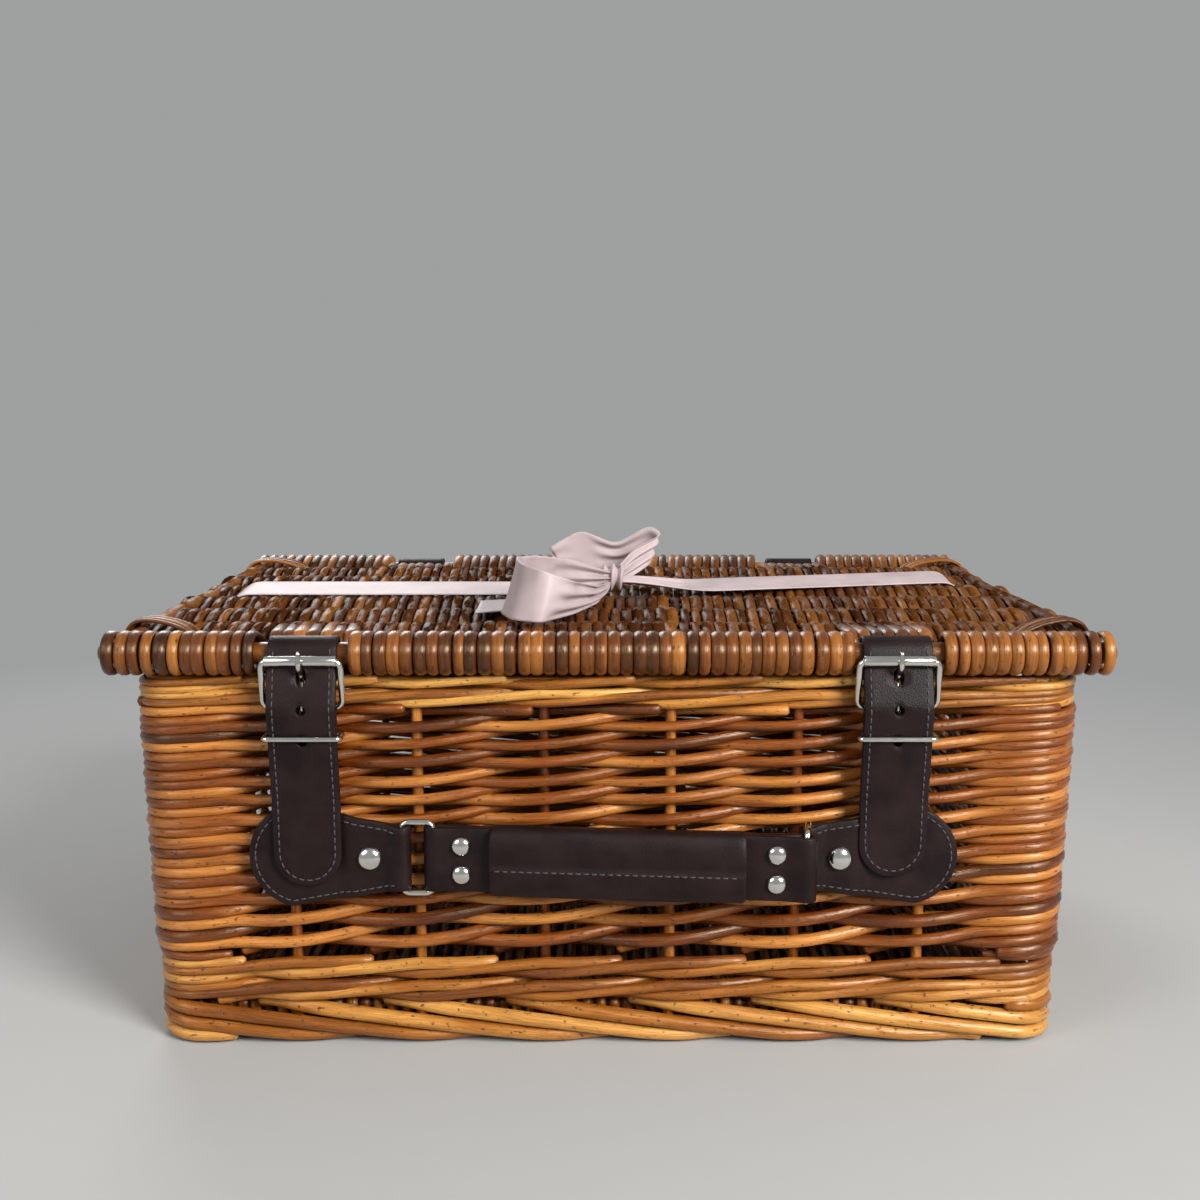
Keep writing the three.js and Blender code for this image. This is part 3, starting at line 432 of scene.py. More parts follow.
def woven_panel(rods, columns, zm, span, sticks, rod_wrap, stick_r, strand, tail, gaps_front=(), gaps_back=()):
    """zm is the height of the panel's middle, span the distance between the outer rods, and tail how far the
    sticks stand out past the strands. In a gap the strands turn round a short stick half way to the rod."""
    y0 = SHIFT - span / 2
    pitch = span / (sticks - 1)
    for x in columns:
        r = strand * rng.choice([0.8, 0.92, 1.0, 1.0, 1.1])
        low = stick_r + 0.88 * SKEIN * strand
        lean = rng.uniform(-0.8, 0.8)
        start = 0.5 if any(a < x < b for a, b in gaps_front) else 0
        end = sticks - 1.5 if any(a < x < b for a, b in gaps_back) else sticks - 1

        def over(n):
            return np.cos(math.pi * np.clip(n, math.ceil(start), math.floor(end)))

        def strip(sign, side):
            n = np.arange(start, end + 1e-6, 0.125)
            edge = np.minimum(n, sticks - 1 - n)
            reach = low + (rod_wrap - SKEIN * r - low) * (1 - smooth(edge / 0.55))
            z = zm - sign * over(n) * reach
            near = np.minimum(n - start, end - n)
            thick = r * (0.88 + 0.12 * (1 - smooth(near / 0.5)))
            shift = side * 1.3 * smooth(near / 0.4) + lean * (n / sticks - 0.5)
            return joined(x + shift, y0 + n * pitch, z), thick, smooth((near - 0.02) / 0.3)

        def wrap(at, heading):
            reach = rod_wrap - SKEIN * r if at in (0, sticks - 1) else low
            first = -over(at)
            angle = np.linspace(first, -first, 11)[1:-1] * math.pi / 2
            y = y0 + at * pitch + heading * reach * np.cos(angle)
            return joined(x + lean * (at / sticks - 0.5), y, zm + reach * np.sin(angle))

        ahead, thick_a, old_a = strip(1, -1)
        back, thick_b, old_b = strip(-1, 1)
        front_turn, back_turn = wrap(start, -1), wrap(end, 1)
        path = np.vstack([ahead[::-1], front_turn, back, back_turn])
        full, fresh = np.full(len(front_turn), r), np.zeros(len(front_turn))
        thick = np.concatenate([thick_a[::-1], full, thick_b, full])
        old = np.concatenate([old_a[::-1], fresh, old_b, fresh])
        rods.add(path, thick, X, age=AGE * old, sides=10, form=(1.12, SKEIN))
    for n in range(1, sticks - 1):
        x = np.linspace(columns[0] - tail, columns[-1] + tail, 40)
        z = zm + 0.3 * np.sin(x / 17 + n)
        rods.add(joined(x, y0 + n * pitch, z), stick_r, Z, age=0.4 * AGE)
    for at, gaps in ((0.5, gaps_front), (sticks - 1.5, gaps_back)):
        for a, b in gaps:
            x = np.linspace(a + 1.5, b - 1.5, 8)
            rods.add(joined(x, y0 + at * pitch, zm), stick_r - 0.3, Z, age=0.4 * AGE)


LID_ROD_Y, LID_Z, LID_WRAP, LID_END, LID_COLUMNS = 143.25, 169.55, 9.25, 201.5, 78
STRAP_X, STRAP_BARE, HINGE_X, HINGE_BARE = (-123.0, 117.0), 18.0, (-109.0, 109.0), 17.5
lid = Rods()
lid_columns = np.linspace(-LID_END, LID_END, LID_COLUMNS) + rng.uniform(-0.35, 0.35, LID_COLUMNS)
strap_gaps = [(x - STRAP_BARE, x + STRAP_BARE) for x in STRAP_X]
hinge_gaps = [(x - HINGE_BARE, x + HINGE_BARE) for x in HINGE_X]
woven_panel(
    lid, lid_columns, LID_Z, span=2 * LID_ROD_Y, sticks=8, rod_wrap=LID_WRAP, stick_r=3.3, strand=2.55,
    tail=-2, gaps_front=strap_gaps, gaps_back=hinge_gaps,
)
for sign in (-1, 1):
    x = np.linspace(-204.4, 204.4, 60)
    lid.add(joined(x, SHIFT + sign * LID_ROD_Y, LID_Z), 4.5, Z, sides=12)
lid.make("lid_weave", LID_WILLOW, "lid", "willow_dark", "lid_panel", "lid_front_rod", "lid_back_rod")

# Sides of the lid: three rods each, bundled
edges = Rods()
for sign in (-1, 1):
    for x, z, r in ((201.6, -1.8, 3.2), (195.2, -1.6, 3.1), (198.4, 3.6, 3.2)):
        y = np.linspace(-133, 133, 40)
        sway = 0.5 * np.sin(y / 23 + x)
        edges.add(joined(sign * (x + 0.3 * sway), SHIFT + y, LID_Z + z + sway), r, Z, age=AGE)
edges.make("lid_edges", LID_WILLOW, "lid", "willow_dark", "lid_side_rod_left", "lid_side_rod_right")

BASE_Z, BASE_SPAN, BASE_END, BASE_COLUMNS = 12.0, 246, 175.5, 60
base = Rods()
base_columns = np.linspace(-BASE_END, BASE_END, BASE_COLUMNS) + rng.uniform(-0.4, 0.4, BASE_COLUMNS)
woven_panel(base, base_columns, BASE_Z, BASE_SPAN, sticks=6, rod_wrap=5.4, stick_r=1.7, strand=2.1, tail=3)
for sign in (-1, 1):
    x = np.linspace(-178, 178, 40)
    base.add(joined(x, SHIFT + sign * BASE_SPAN / 2, BASE_Z), 1.9, Z)
base.make("base_weave", WALL_WILLOW, "basket", "willow_dark", "base_panel")

# Leather: cut flat, laid along a bent line and rounded at its edges


def resample(points, step):
    points = np.asarray(points, float)
    along = np.concatenate([[0], np.cumsum(np.linalg.norm(np.diff(points, axis=0), axis=1))])
    at = np.linspace(0, along[-1], max(2, int(round(along[-1] / step)) + 1))
    return np.stack([np.interp(at, along, column) for column in points.T], -1)


def softened(points, step, width):
    """The line at even steps, with its corners rounded."""
    points = resample(points, step)
    n = int(width / step / 2)
    ends = 2 * points[:1] - points[n:0:-1], 2 * points[-1:] - points[-2 : -n - 2 : -1]
    padded = np.vstack([ends[0], points, ends[1]])
    kernel = np.ones(2 * n + 1) / (2 * n + 1)
    return np.stack([np.convolve(column, kernel, mode="valid") for column in padded.T], -1)


def arc(centre, radius, start, end, count=13):
    angle = np.radians(np.linspace(start, end, count))
    return [(centre[0] + radius * math.cos(a), centre[1] + radius * math.sin(a)) for a in angle]


class Line:
    """A bent line in the plane of two directions, which places flat points (across, along, above)."""

    def __init__(self, points, origin, first, second, across, flip=1, soften=3.0):
        self.points = softened(points, 0.4, soften)
        step = np.gradient(self.points, axis=0)
        step /= np.linalg.norm(step, axis=1)[:, None]
        self.normals = flip * np.stack([-step[:, 1], step[:, 0]], -1)
        self.along = np.concatenate([[0], np.cumsum(np.linalg.norm(np.diff(self.points, axis=0), axis=1))])
        self.length = self.along[-1]
        self.origin, self.across = np.asarray(origin, float), np.asarray(across, float)
        self.first, self.second = np.asarray(first, float), np.asarray(second, float)

    def at(self, u, v, n):
        u, v, n = (np.ravel(a) for a in np.broadcast_arrays(u, v, n))
        on = [np.interp(v, self.along, self.points[:, k]) for k in (0, 1)]
        p, q = (on[k] + n * np.interp(v, self.along, self.normals[:, k]) for k in (0, 1))
        return self.origin + p[:, None] * self.first + q[:, None] * self.second + u[:, None] * self.across

    def find(self, axis, value, last=True):
        """Distance along the line where one of its two coordinates comes nearest to a value."""
        gap = np.abs(self.points[:, axis] - value)
        near = np.flatnonzero(gap < gap.min() + 0.25)
        return self.along[near[-1] if last else near[0]]


def inside(points, ring):
    """Which points lie in a closed ring."""
    x, y = np.asarray(points, float).T
    hit = np.zeros(len(x), bool)
    for (x0, y0), (x1, y1) in zip(ring, np.roll(ring, -1, 0)):
        if y0 != y1:
            hit ^= ((y0 > y) != (y1 > y)) & (x < (x1 - x0) * (y - y0) / (y1 - y0) + x0)
    return hit


def ring_of(points, step, hole):
    """A closed ring at even steps, anticlockwise outside and clockwise for a hole."""
    points = np.asarray(points, float)
    ring = resample(np.vstack([points, points[:1]]), step)[:-1]
    x, y = ring.T
    area = np.sum(x * np.roll(y, -1) - y * np.roll(x, -1))
    return ring[::-1] if (area > 0) == hole else ring


def inset(ring, depth):
    """The ring moved inwards, or into the leather round a hole."""
    step = np.roll(ring, -1, 0) - np.roll(ring, 1, 0)
    step /= np.linalg.norm(step, axis=1)[:, None]
    return ring + depth * np.stack([-step[:, 1], step[:, 0]], -1)


class Hide:
    """Leather pieces gathered into one mesh, with their flat position kept for the grain."""

    EDGE, HOLE_EDGE, GRID = 0.55, 0.3, (4.0, 1.6)

    def __init__(self):
        self.points, self.faces, self.flat = [], [], []
        self.count = 0

    def add(self, line, outline, thick, holes=()):
        """A piece cut along a flat outline, with its holes, and laid on a line."""
        rings = [ring_of(outline, 1.3, False)] + [ring_of(h, 0.7, True) for h in holes]
        rounds = [self.EDGE] + [self.HOLE_EDGE] * len(holes)
        inner = [inset(ring, edge) for ring, edge in zip(rings, rounds)]
        low, high = rings[0].min(0), rings[0].max(0)
        u, v = (np.arange(low[k] + self.GRID[k], high[k], self.GRID[k]) for k in (0, 1))
        mesh = np.stack(np.meshgrid(u, v, indexing="ij"), -1).reshape(-1, 2)
        border = np.vstack(inner)
        clear = np.min(np.linalg.norm(mesh[:, None] - border[None], axis=2), 1) > 0.75
        for k, ring in enumerate(inner):
            clear &= inside(mesh, ring) == (k == 0)
        flat = np.vstack([border, mesh[clear]])
        edges, start = [], 0
        for ring in inner:
            n = len(ring)
            edges += [(start + i, start + (i + 1) % n) for i in range(n)]
            start += n
        made = delaunay_2d_cdt([Vector(p) for p in flat], edges, [], 0, 1e-5)
        new_of = {old: new for new, olds in enumerate(made[3]) for old in olds}
        flat = np.array([tuple(p) for p in made[0]])
        faces = np.array([f for f in made[2] if len(f) == 3])
        middle = flat[faces].mean(1)
        keep = inside(middle, inner[0])
        for ring in inner[1:]:
            keep &= ~inside(middle, ring)
        faces = faces[keep]
        n = len(flat)
        half = thick / 2
        layers = [np.column_stack([flat, np.full(n, half)]), np.column_stack([flat, np.full(n, -half)])]
        quads, base, offset = [], 0, 2 * n
        for ring, edge in zip(rings, rounds):
            m = len(ring)
            top = np.array([new_of[base + i] for i in range(m)])
            loops = [top]
            for angle in (40, 0, -40):
                bend = math.radians(angle)
                rim = inset(ring, edge * (1 - math.cos(bend)))
                layers.append(np.column_stack([rim, np.full(m, half * math.sin(bend) * 1.25)]))
                loops.append(offset + np.arange(m))
                offset += m
            loops.append(top + n)
            for a, b in zip(loops, loops[1:]):
                quads.append(np.stack([a, b, np.roll(b, -1), np.roll(a, -1)], -1))
            base += m
        flat = np.vstack(layers)
        self.points.append(line.at(*flat.T))
        self.flat.append(flat + (0, rng.uniform(0, 900), 0))
        for part in (faces, faces[:, ::-1] + n, *quads):
            self.faces += (part + self.count).tolist()
        self.count += len(flat)

    def mesh(self, name):
        made = bpy.data.meshes.new(name)
        made.from_pydata((np.vstack(self.points) * MM).tolist(), [], self.faces)
        note(made, "flat", np.vstack(self.flat))
        face_out(made)
        return made


STITCH, STITCH_PITCH, THREAD_R = 2.3, 3.3, 0.34
THREAD_REF = np.array([0.35, -0.87, 0.35])


def stitch(rods, line, route, face):
    """Stitches along a flat route on a leather face, each sunk at its ends."""
    route = resample(route, STITCH_PITCH)
    for a, b in zip(route, route[1:]):
        t = np.linspace(0, STITCH / STITCH_PITCH, 6)[:, None]
        flat = a + t * (b - a)
        rise = face + np.array([-0.3, 0.1, 0.22, 0.22, 0.1, -0.3])
        rods.add(line.at(flat[:, 0], flat[:, 1], rise), THREAD_R, THREAD_REF, sides=6, tip=False)


def leather():
    """Dark aubergine hide with a fine pebbled grain and a soft sheen."""
    m = Nodes("dark_leather")
    flat = m.attribute("flat")
    cells = m.add("TexVoronoi", {"Vector": flat, "Scale": 1.9, "Randomness": 1.0}, feature="F1")
    pebbles = cells.outputs["Distance"]
    grain = m.noise(flat, 1.1, 4, 0.6)
    wear = m.noise(flat, 0.06, 3)
    colour = m.mix(m.ramp(wear, (0.35, 0.0), (0.7, 1.0)), (0.007, 0.0027, 0.0025), (0.018, 0.008, 0.0075))
    colour = m.mix(m.maths("MULTIPLY", grain, 0.4), colour, (0.01, 0.006, 0.006))
    rough = m.maths("MULTIPLY_ADD", grain, 0.16, m.maths("MULTIPLY_ADD", wear, 0.14, 0.3))
    m.set(Base_Color=colour, Roughness=rough, Specular_IOR_Level=0.18)
    m.bump(m.maths("MULTIPLY_ADD", pebbles, -0.7, grain), 0.35, 0.00035)
    return m.material


def thread():
    m = Nodes("grey_thread")
    grain = m.attribute("grain")
    twist = m.noise(m.stretched(grain, (1.2, 1.2, 2.6)), 1.0, 2)
    m.set(Base_Color=m.mix(twist, (0.024, 0.018, 0.019), (0.07, 0.058, 0.06)), Roughness=0.62)
    m.bump(twist, 0.5, 0.0002)
    return m.material


def nickel():
    """Polished plate with faint drawing marks and a few dull patches."""
    m = Nodes("polished_nickel")
    where = m.add("TexCoord").outputs["Object"]
    haze = m.noise(where, 240.0, 3)
    marks = m.noise(m.stretched(where, (400.0, 1800.0, 1800.0)), 1.0, 2)
    colour = m.mix(haze, (0.62, 0.60, 0.56), (0.8, 0.78, 0.75))
    m.set(Base_Color=colour, Metallic=1.0, Roughness=m.maths("MULTIPLY_ADD", haze, 0.14, 0.08))
    m.bump(marks, 0.05, 0.0001)
    return m.material


LEATHER, THREAD, NICKEL = leather(), thread(), nickel()


def turned(name, profile, centre, axis, body, nodes, sides=32):
    """A round piece from a profile of (radius, height) points, closed at both ends."""
    axis = np.asarray(axis, float)
    a = np.cross(axis, (0.3, 0.9, 0.2))
    a /= np.linalg.norm(a)
    b = np.cross(axis, a)
    angle = TURN * np.arange(sides) / sides
    ring = np.cos(angle)[:, None] * a + np.sin(angle)[:, None] * b
    points = np.vstack([np.asarray(centre) + r * ring + h * axis for r, h in profile])
    faces = []
    for i in range(len(profile) - 1):
        for j in range(sides):
            k = (j + 1) % sides
            faces.append((i * sides + j, i * sides + k, (i + 1) * sides + k, (i + 1) * sides + j))
    if profile[0] == profile[-1]:
        last = (len(profile) - 1) * sides
        faces = [tuple(p - last if p >= last else p for p in f) for f in faces]
        points = points[:last]
    else:
        faces.append(tuple(range(sides))[::-1])
        faces.append(tuple((len(profile) - 1) * sides + j for j in range(sides)))
    mesh = bpy.data.meshes.new(name)
    mesh.from_pydata((points * MM).tolist(), [], faces)
    mesh.shade_smooth()
    mesh.set_sharp_from_angle(angle=math.radians(50))
    return place(mesh, NICKEL, body, "nickel", *nodes)


def wire_loop(name, centre, right, up, width, height, corner, wire, body, node):
    """A closed wire, rounded at its corners, about a centre in the plane of two directions."""
    a, b = width / 2 - corner, height / 2 - corner
    points = []
    for k, (x, y) in enumerate(((a, b), (-a, b), (-a, -b), (a, -b))):
        points += arc((x, y), corner, 90 * k, 90 * k + 90, 9)
    points = resample(points + points[:1], 0.8)[:-1]
    path = np.asarray(centre) + points[:, :1] * np.asarray(right) + points[:, 1:] * np.asarray(up)
    rods = Rods()
    rods.add(path, wire, np.cross(right, up), sides=12, closed=True)
    rods.make(name, NICKEL, body, "nickel", node)


def front_y(out, z):
    return -flared(HALF_Y, z) - out


STRAP_W, STRAP_T, HINGE_W, HINGE_T, CHAPE_W, CHAPE_T, SEAM_IN = 28.0, 2.5, 27.0, 2.2, 26.0, 2.1, 2.6
STRAP_TIP = {"left": 72.94, "right": 76.94}
TAB_TOP = {"left": 110.64, "right": 108.94}
BAR, ROLLER = np.array([-149.708, 148.6]), np.array([-153.569, 168.0])
ROD_FRONT, ROD_BACK = (-LID_ROD_Y, LID_Z), (LID_ROD_Y, LID_Z)
GROUND = np.array([0, SHIFT, 0.0])


def strap_outline(length, width, tip):
    """Flat outline of a strap that ends in a half round."""
    half = width / 2
    round_end = arc((0, length - half), half, 0, 180, 25) if tip else [(half, length), (-half, length)]
    return [(half, 0)] + round_end + [(-half, 0)]


def strap_y(z):
    """Where the middle of a closing strap's upper run lies at a height."""
    return float(np.interp(z, (148.6, 169.55), (-155.06, -149.3)))


for hand, x in zip(HANDS, STRAP_X):
    tip, tab_top = STRAP_TIP[hand], TAB_TOP[hand]
    route = [(-149.2, 159.9)] + arc(ROD_FRONT, 6.05, -60, 180, 25)
    route += [(-155.06, 148.6), (-151.0, 123.6)] + [(front_y(12.25, z), z) for z in (tab_top, tip)]
    line = Line(route, GROUND + x * X, Y, Z, X, flip=-1, soften=4.0)
    long_hole = line.find(1, 161.0)
    holes = [[(2 * math.cos(a), long_hole + 3.75 * math.sin(a)) for a in np.linspace(0, TURN, 20)[:-1]]]
    for z in (148.0, 135.0):
        at = line.find(1, z)
        holes.append([(1.9 * math.cos(a), at + 1.9 * math.sin(a)) for a in np.linspace(0, TURN, 16)[:-1]])
    hide = Hide()
    hide.add(line, strap_outline(line.length, STRAP_W, True), STRAP_T, holes)
    place(hide.mesh(f"closing_strap_{hand}"), LEATHER, f"strap_{hand}", "leather", f"strap_{hand}")
    start, reach = line.find(1, 172.0), STRAP_W / 2 - SEAM_IN
    seam = [(reach, start), *arc((0, line.length - STRAP_W / 2), reach, 0, 180, 25), (-reach, start)]
    sewn = Rods()
    stitch(sewn, line, seam, STRAP_T / 2)
    sewn.make(f"strap_stitches_{hand}", THREAD, f"strap_{hand}", "leather")

    # Chape: folded round the buckle's bar, with a slot for the prong
    route = [(front_y(11.6, 123.6), 123.6), (front_y(11.6, 139), 139.0), (BAR[0] - 2.7, BAR[1])]
    route += arc(BAR, 2.7, 180, 0, 15) + [(front_y(9.4, 141), 141.0), (front_y(9.4, 123.6), 123.6)]
    line = Line(route, GROUND + x * X, Y, Z, X, soften=2.0)
    from_v, to_v = line.find(1, 142.0, last=False), line.find(1, 142.0)
    slot = [(2.1, from_v), (2.1, to_v), (-2.1, to_v), (-2.1, from_v)]
    hide = Hide()
    hide.add(line, strap_outline(line.length, CHAPE_W, False), CHAPE_T, [slot])
    place(hide.mesh(f"buckle_chape_{hand}"), LEATHER, "basket", "leather", f"chape_{hand}")

    # Buckle: wire frame, roller and prong
    rise = ROLLER - BAR
    span = np.linalg.norm(rise)
    up = (rise[0] * Y + rise[1] * Z) / span
    centre = GROUND + x * X + (BAR[0] + ROLLER[0]) / 2 * Y + (BAR[1] + ROLLER[1]) / 2 * Z
    wire_loop(f"buckle_frame_{hand}", centre, X, up, 32.0, span, 3.0, 1.3, f"buckle_{hand}", f"buckle_{hand}")
    centre = GROUND + x * X + ROLLER[0] * Y + ROLLER[1] * Z
    half = 14.4
    profile = [(1.62, -half), (1.95, -half), (2.2, -half + 0.3)]
    profile += [(2.2, half - 0.3), (1.95, half), (1.62, half), (1.62, -half)]
    turned(f"buckle_roller_{hand}", profile, centre, X, f"roller_{hand}", [f"roller_{hand}"])
    route = arc(BAR, 2.8, 72, -180, 14)
    route += [(strap_y(z) + 2.93, z) for z in (BAR[1] + 0.3 * rise[1], BAR[1] + 0.56 * rise[1])]
    route += [(strap_y(161.0), 161.0), (strap_y(163.4) - 1.92, 163.4)]
    route += arc(ROLLER, 4.0, 230, 180, 5) + [(ROLLER[0] - 4.0, ROLLER[1] + 4.0)]
    bent = softened(route, 0.5, 2.4)
    path = GROUND + x * X + bent[:, :1] * Y + bent[:, 1:] * Z
    thick = np.interp(np.arange(len(path)), [0, len(path) - 9, len(path) - 1], [1.2, 1.2, 0.85])
    rods = Rods()
    rods.add(path, thick, X, sides=12)
    rods.make(f"buckle_prong_{hand}", NICKEL, f"buckle_{hand}", "nickel", f"prong_{hand}")

    # Keeper: a flat wire loop round the strap
    centre = GROUND + x * X + (-146.59 - 155.74) / 2 * Y + 136.5 * Z
    wire_loop(f"strap_keeper_{hand}", centre, X, Y, 30.8, 9.15, 1.6, 1.1, "basket", f"keeper_{hand}")

# Hinges: leather round the back rod of the lid, nailed down the back wall
for hand, x in zip(HANDS, HINGE_X):
    route = [(147.3, 160.6)] + arc(ROD_BACK, 5.9, 240, 0, 25) + [(146.92, 146.0), (146.44, 132.0)]
    line = Line(route, GROUND + x * X, Y, Z, X, flip=1, soften=4.0)
    hide = Hide()
    hide.add(line, strap_outline(line.length, HINGE_W, False), HINGE_T)
    hinge = place(hide.mesh(f"leather_hinge_{hand}"), LEATHER, None, "leather", f"hinge_strap_{hand}")
    low, high = (Vector((x * MM, (SHIFT + 148) * MM, z * MM)) for z in (153, 165))
    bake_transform(hinge)
    sewn = Rods()
    reach = HINGE_W / 2 - SEAM_IN
    bottom = line.length - 3.0
    top = line.find(1, 152.5)
    stitch(sewn, line, [(reach, top), (reach, bottom), (-reach, bottom), (-reach, top)], HINGE_T / 2)
    sewn.make(f"hinge_stitches_{hand}", THREAD, "basket", "leather")

# Carrying handle, in a frame that leans with the front wall
lean = math.atan2(FLARE, HEIGHT)
HANDLE_Z = 85.44
HANDLE = GROUND + front_y(0, HANDLE_Z) * Y + HANDLE_Z * Z
UP, OUT = math.cos(lean) * Z - math.sin(lean) * Y, -math.cos(lean) * Y - math.sin(lean) * Z
TAB = {"left": (-84.5, -125.0, 22.7, -1), "right": (82.5, 123.5, 21.0, 1)}
NECK, TAB_T, BAR_OUT = 13.6, 2.4, 12.3


def dome(name, radius, height, centre, axis, body, node):
    """A domed rivet head on a short straight rim."""
    brim = 0.25
    profile = [(0.86 * radius, -0.2), (radius, 0.0), (radius, brim)]
    for a in np.radians((15, 32, 48, 62, 74, 84)):
        profile.append((radius * math.cos(a), brim + (height - brim) * math.sin(a)))
    turned(name, profile, centre, axis, body, [node])


for hand in HANDS:
    bar, end, radius, sign = TAB[hand]
    reach = abs(end - bar)
    route = [(reach + radius, 9.5), (25.5, 9.5), (19.0, 11.9), (6.0, 11.9), (0.6, BAR_OUT + 2.8)]
    route += arc((0, BAR_OUT), 2.8, 90, 270, 15)
    route += [(6.0, 9.5), (19.0, 9.5)]
    line = Line(route, HANDLE + bar * X, sign * X, OUT, UP, flip=-1, soften=2.4)
    turn_v = line.find(0, -2.8)
    slant = math.hypot(reach - 4.0, NECK)
    round_part = np.linspace(0, math.acos(radius / slant) + math.atan2(NECK, reach - 4.0), 20)
    side = [(radius * math.sin(a), radius - radius * math.cos(a)) for a in round_part]
    side += [(NECK, turn_v - 6.0), (NECK, line.length)]
    outline = side + [(-u, v) for u, v in side[::-1]]
    hide = Hide()
    hide.add(line, outline[:-1], TAB_T)
    place(hide.mesh(f"handle_tab_{hand}"), LEATHER, "basket", "leather", f"tab_{hand}")
    inner = radius - SEAM_IN
    seam = [(inner * math.sin(a), radius - inner * math.cos(a)) for a in round_part]
    seam.append((NECK - SEAM_IN, turn_v - 7.0))
    sewn = Rods()
    stitch(sewn, line, seam, TAB_T / 2)
    stitch(sewn, line, [(-u, v) for u, v in seam], TAB_T / 2)
    sewn.make(f"tab_stitches_{hand}", THREAD, "basket", "leather")
    spot = HANDLE + (bar + sign * 13) * X + 13.4 * OUT
    dome(f"tab_stud_{hand}", 5.0, 2.8, spot, OUT, "basket", f"tab_rivet_{hand}")
    swing = math.radians(80) if hand == "right" else 0.0
    along = -sign * math.cos(swing) * X + math.sin(swing) * OUT
    centre = HANDLE + bar * X + BAR_OUT * OUT + 6.5 * along
    wire_loop(f"wire_ring_{hand}", centre, along, UP, 13.0, 30.4, 3.4, 1.3, f"ring_{hand}", f"ring_{hand}")

left_bar = np.array([-71.5, BAR_OUT])
right_bar = np.array([80.243, 25.10])
SPAN = np.linalg.norm(right_bar - left_bar)
yaw = (right_bar - left_bar) / SPAN
ALONG = yaw[0] * X + yaw[1] * OUT
AWAY = yaw[0] * OUT - yaw[1] * X
PIVOT = HANDLE + left_bar[0] * X + left_bar[1] * OUT
hide = Hide()
for hand, flip, loop in (("left", 1, 2.8), ("right", -1, 3.1)):
    origin = PIVOT if hand == "left" else PIVOT + SPAN * ALONG
    route = [(46.0, -1.25), (9.0, -1.25)] + arc((0, 0), loop, 300, 60, 21) + [(9.0, 1.25), (46.0, 1.25)]
    line = Line(route, origin, flip * ALONG, AWAY, UP, flip=1, soften=2.4)
    narrow = 11.0
    far, near = line.find(0, 30.0), line.find(0, 30.0, last=False)
    outline = [(narrow, 0), (narrow, near), (NECK, near + 2)]
    outline += [(NECK, far - 2), (narrow, far), (narrow, line.length)]
    outline += [(-u, v) for u, v in outline[::-1]]
    hide.add(line, outline, 2.35)
place(hide.mesh("handle_ends"), LEATHER, "handle", "leather", "handle_strap")
for hand, x in (("left", 12.0), ("right", SPAN - 12.0)):
    for level, z in (("upper", 6.1), ("lower", -6.1)):
        spot = PIVOT + x * ALONG + 2.7 * AWAY + z * UP
        dome(f"handle_stud_{hand}_{level}", 4.0, 2.4, spot, AWAY, "handle", f"handle_rivet_{hand}_{level}")

# Grip: leather sewn round a padded core, with its seam along the front
GRIP = (24.3, SPAN - 24.3)


def grip_section(angle):
    """(out, up) of the grip's outside; the seam is a valley in the middle of its front."""
    c, s = np.cos(angle), np.sin(angle)
    wide = np.sign(c) * np.abs(c) ** 0.62
    tall = np.sign(s) * np.abs(s) ** 0.7
    out = 1.4 + 6.55 * wide
    up = 14.7 * tall
    valley = np.exp(-((up / 1.1) ** 2)) * (c > 0)
    return out - 0.75 * valley, up


angle = np.linspace(0, TURN, 97)[:-1]
along = np.concatenate([[0, 0.15, 0.6, 1.5], np.linspace(4, GRIP[1] - GRIP[0] - 4, 50)])
along = np.concatenate([along, GRIP[1] - GRIP[0] - np.array([1.5, 0.6, 0.15, 0])])
rounding = np.minimum(along, GRIP[1] - GRIP[0] - along)
shrink = 1 - 0.07 * np.clip(1 - rounding / 1.5, 0, 1) ** 2
out, up = grip_section(angle)
ripple = 1 + 0.012 * np.sin(along / 7.0)[:, None] * np.cos(3 * angle)[None]
points = (
    PIVOT
    + (GRIP[0] + along)[:, None, None] * ALONG
    + (shrink[:, None] * ripple * (out - 1.4) + 1.4)[..., None] * AWAY
    + (shrink[:, None] * ripple * up)[..., None] * UP
)
n, m = len(along), len(angle)
faces = []
for i in range(n - 1):
    for j in range(m):
        k = (j + 1) % m
        faces.append([i * m + j, i * m + k, (i + 1) * m + k, (i + 1) * m + j])
faces += [list(range(m))[::-1], [(n - 1) * m + j for j in range(m)]]
mesh = bpy.data.meshes.new("padded_grip")
mesh.from_pydata((points.reshape(-1, 3) * MM).tolist(), [], faces)
note(mesh, "flat", joined(along[:, None], (14 * angle)[None], 0.0))
mesh.shade_smooth()
mesh.set_sharp_from_angle(angle=math.radians(40))
grip = place(mesh, LEATHER, "handle", "leather", "handle_grip")
sewn = Rods()
for start in np.arange(GRIP[0] + 2.0, GRIP[1] - 4.0, STITCH_PITCH):
    x = start + np.linspace(0, STITCH, 6)
    rise = 7.85 + np.array([-0.3, 0.05, 0.15, 0.15, 0.05, -0.3])
    path = PIVOT + x[:, None] * ALONG + rise[:, None] * AWAY - 2.4 * UP
    sewn.add(path, THREAD_R, UP, sides=6, tip=False)
sewn.make("grip_stitches", THREAD, "handle", "leather")

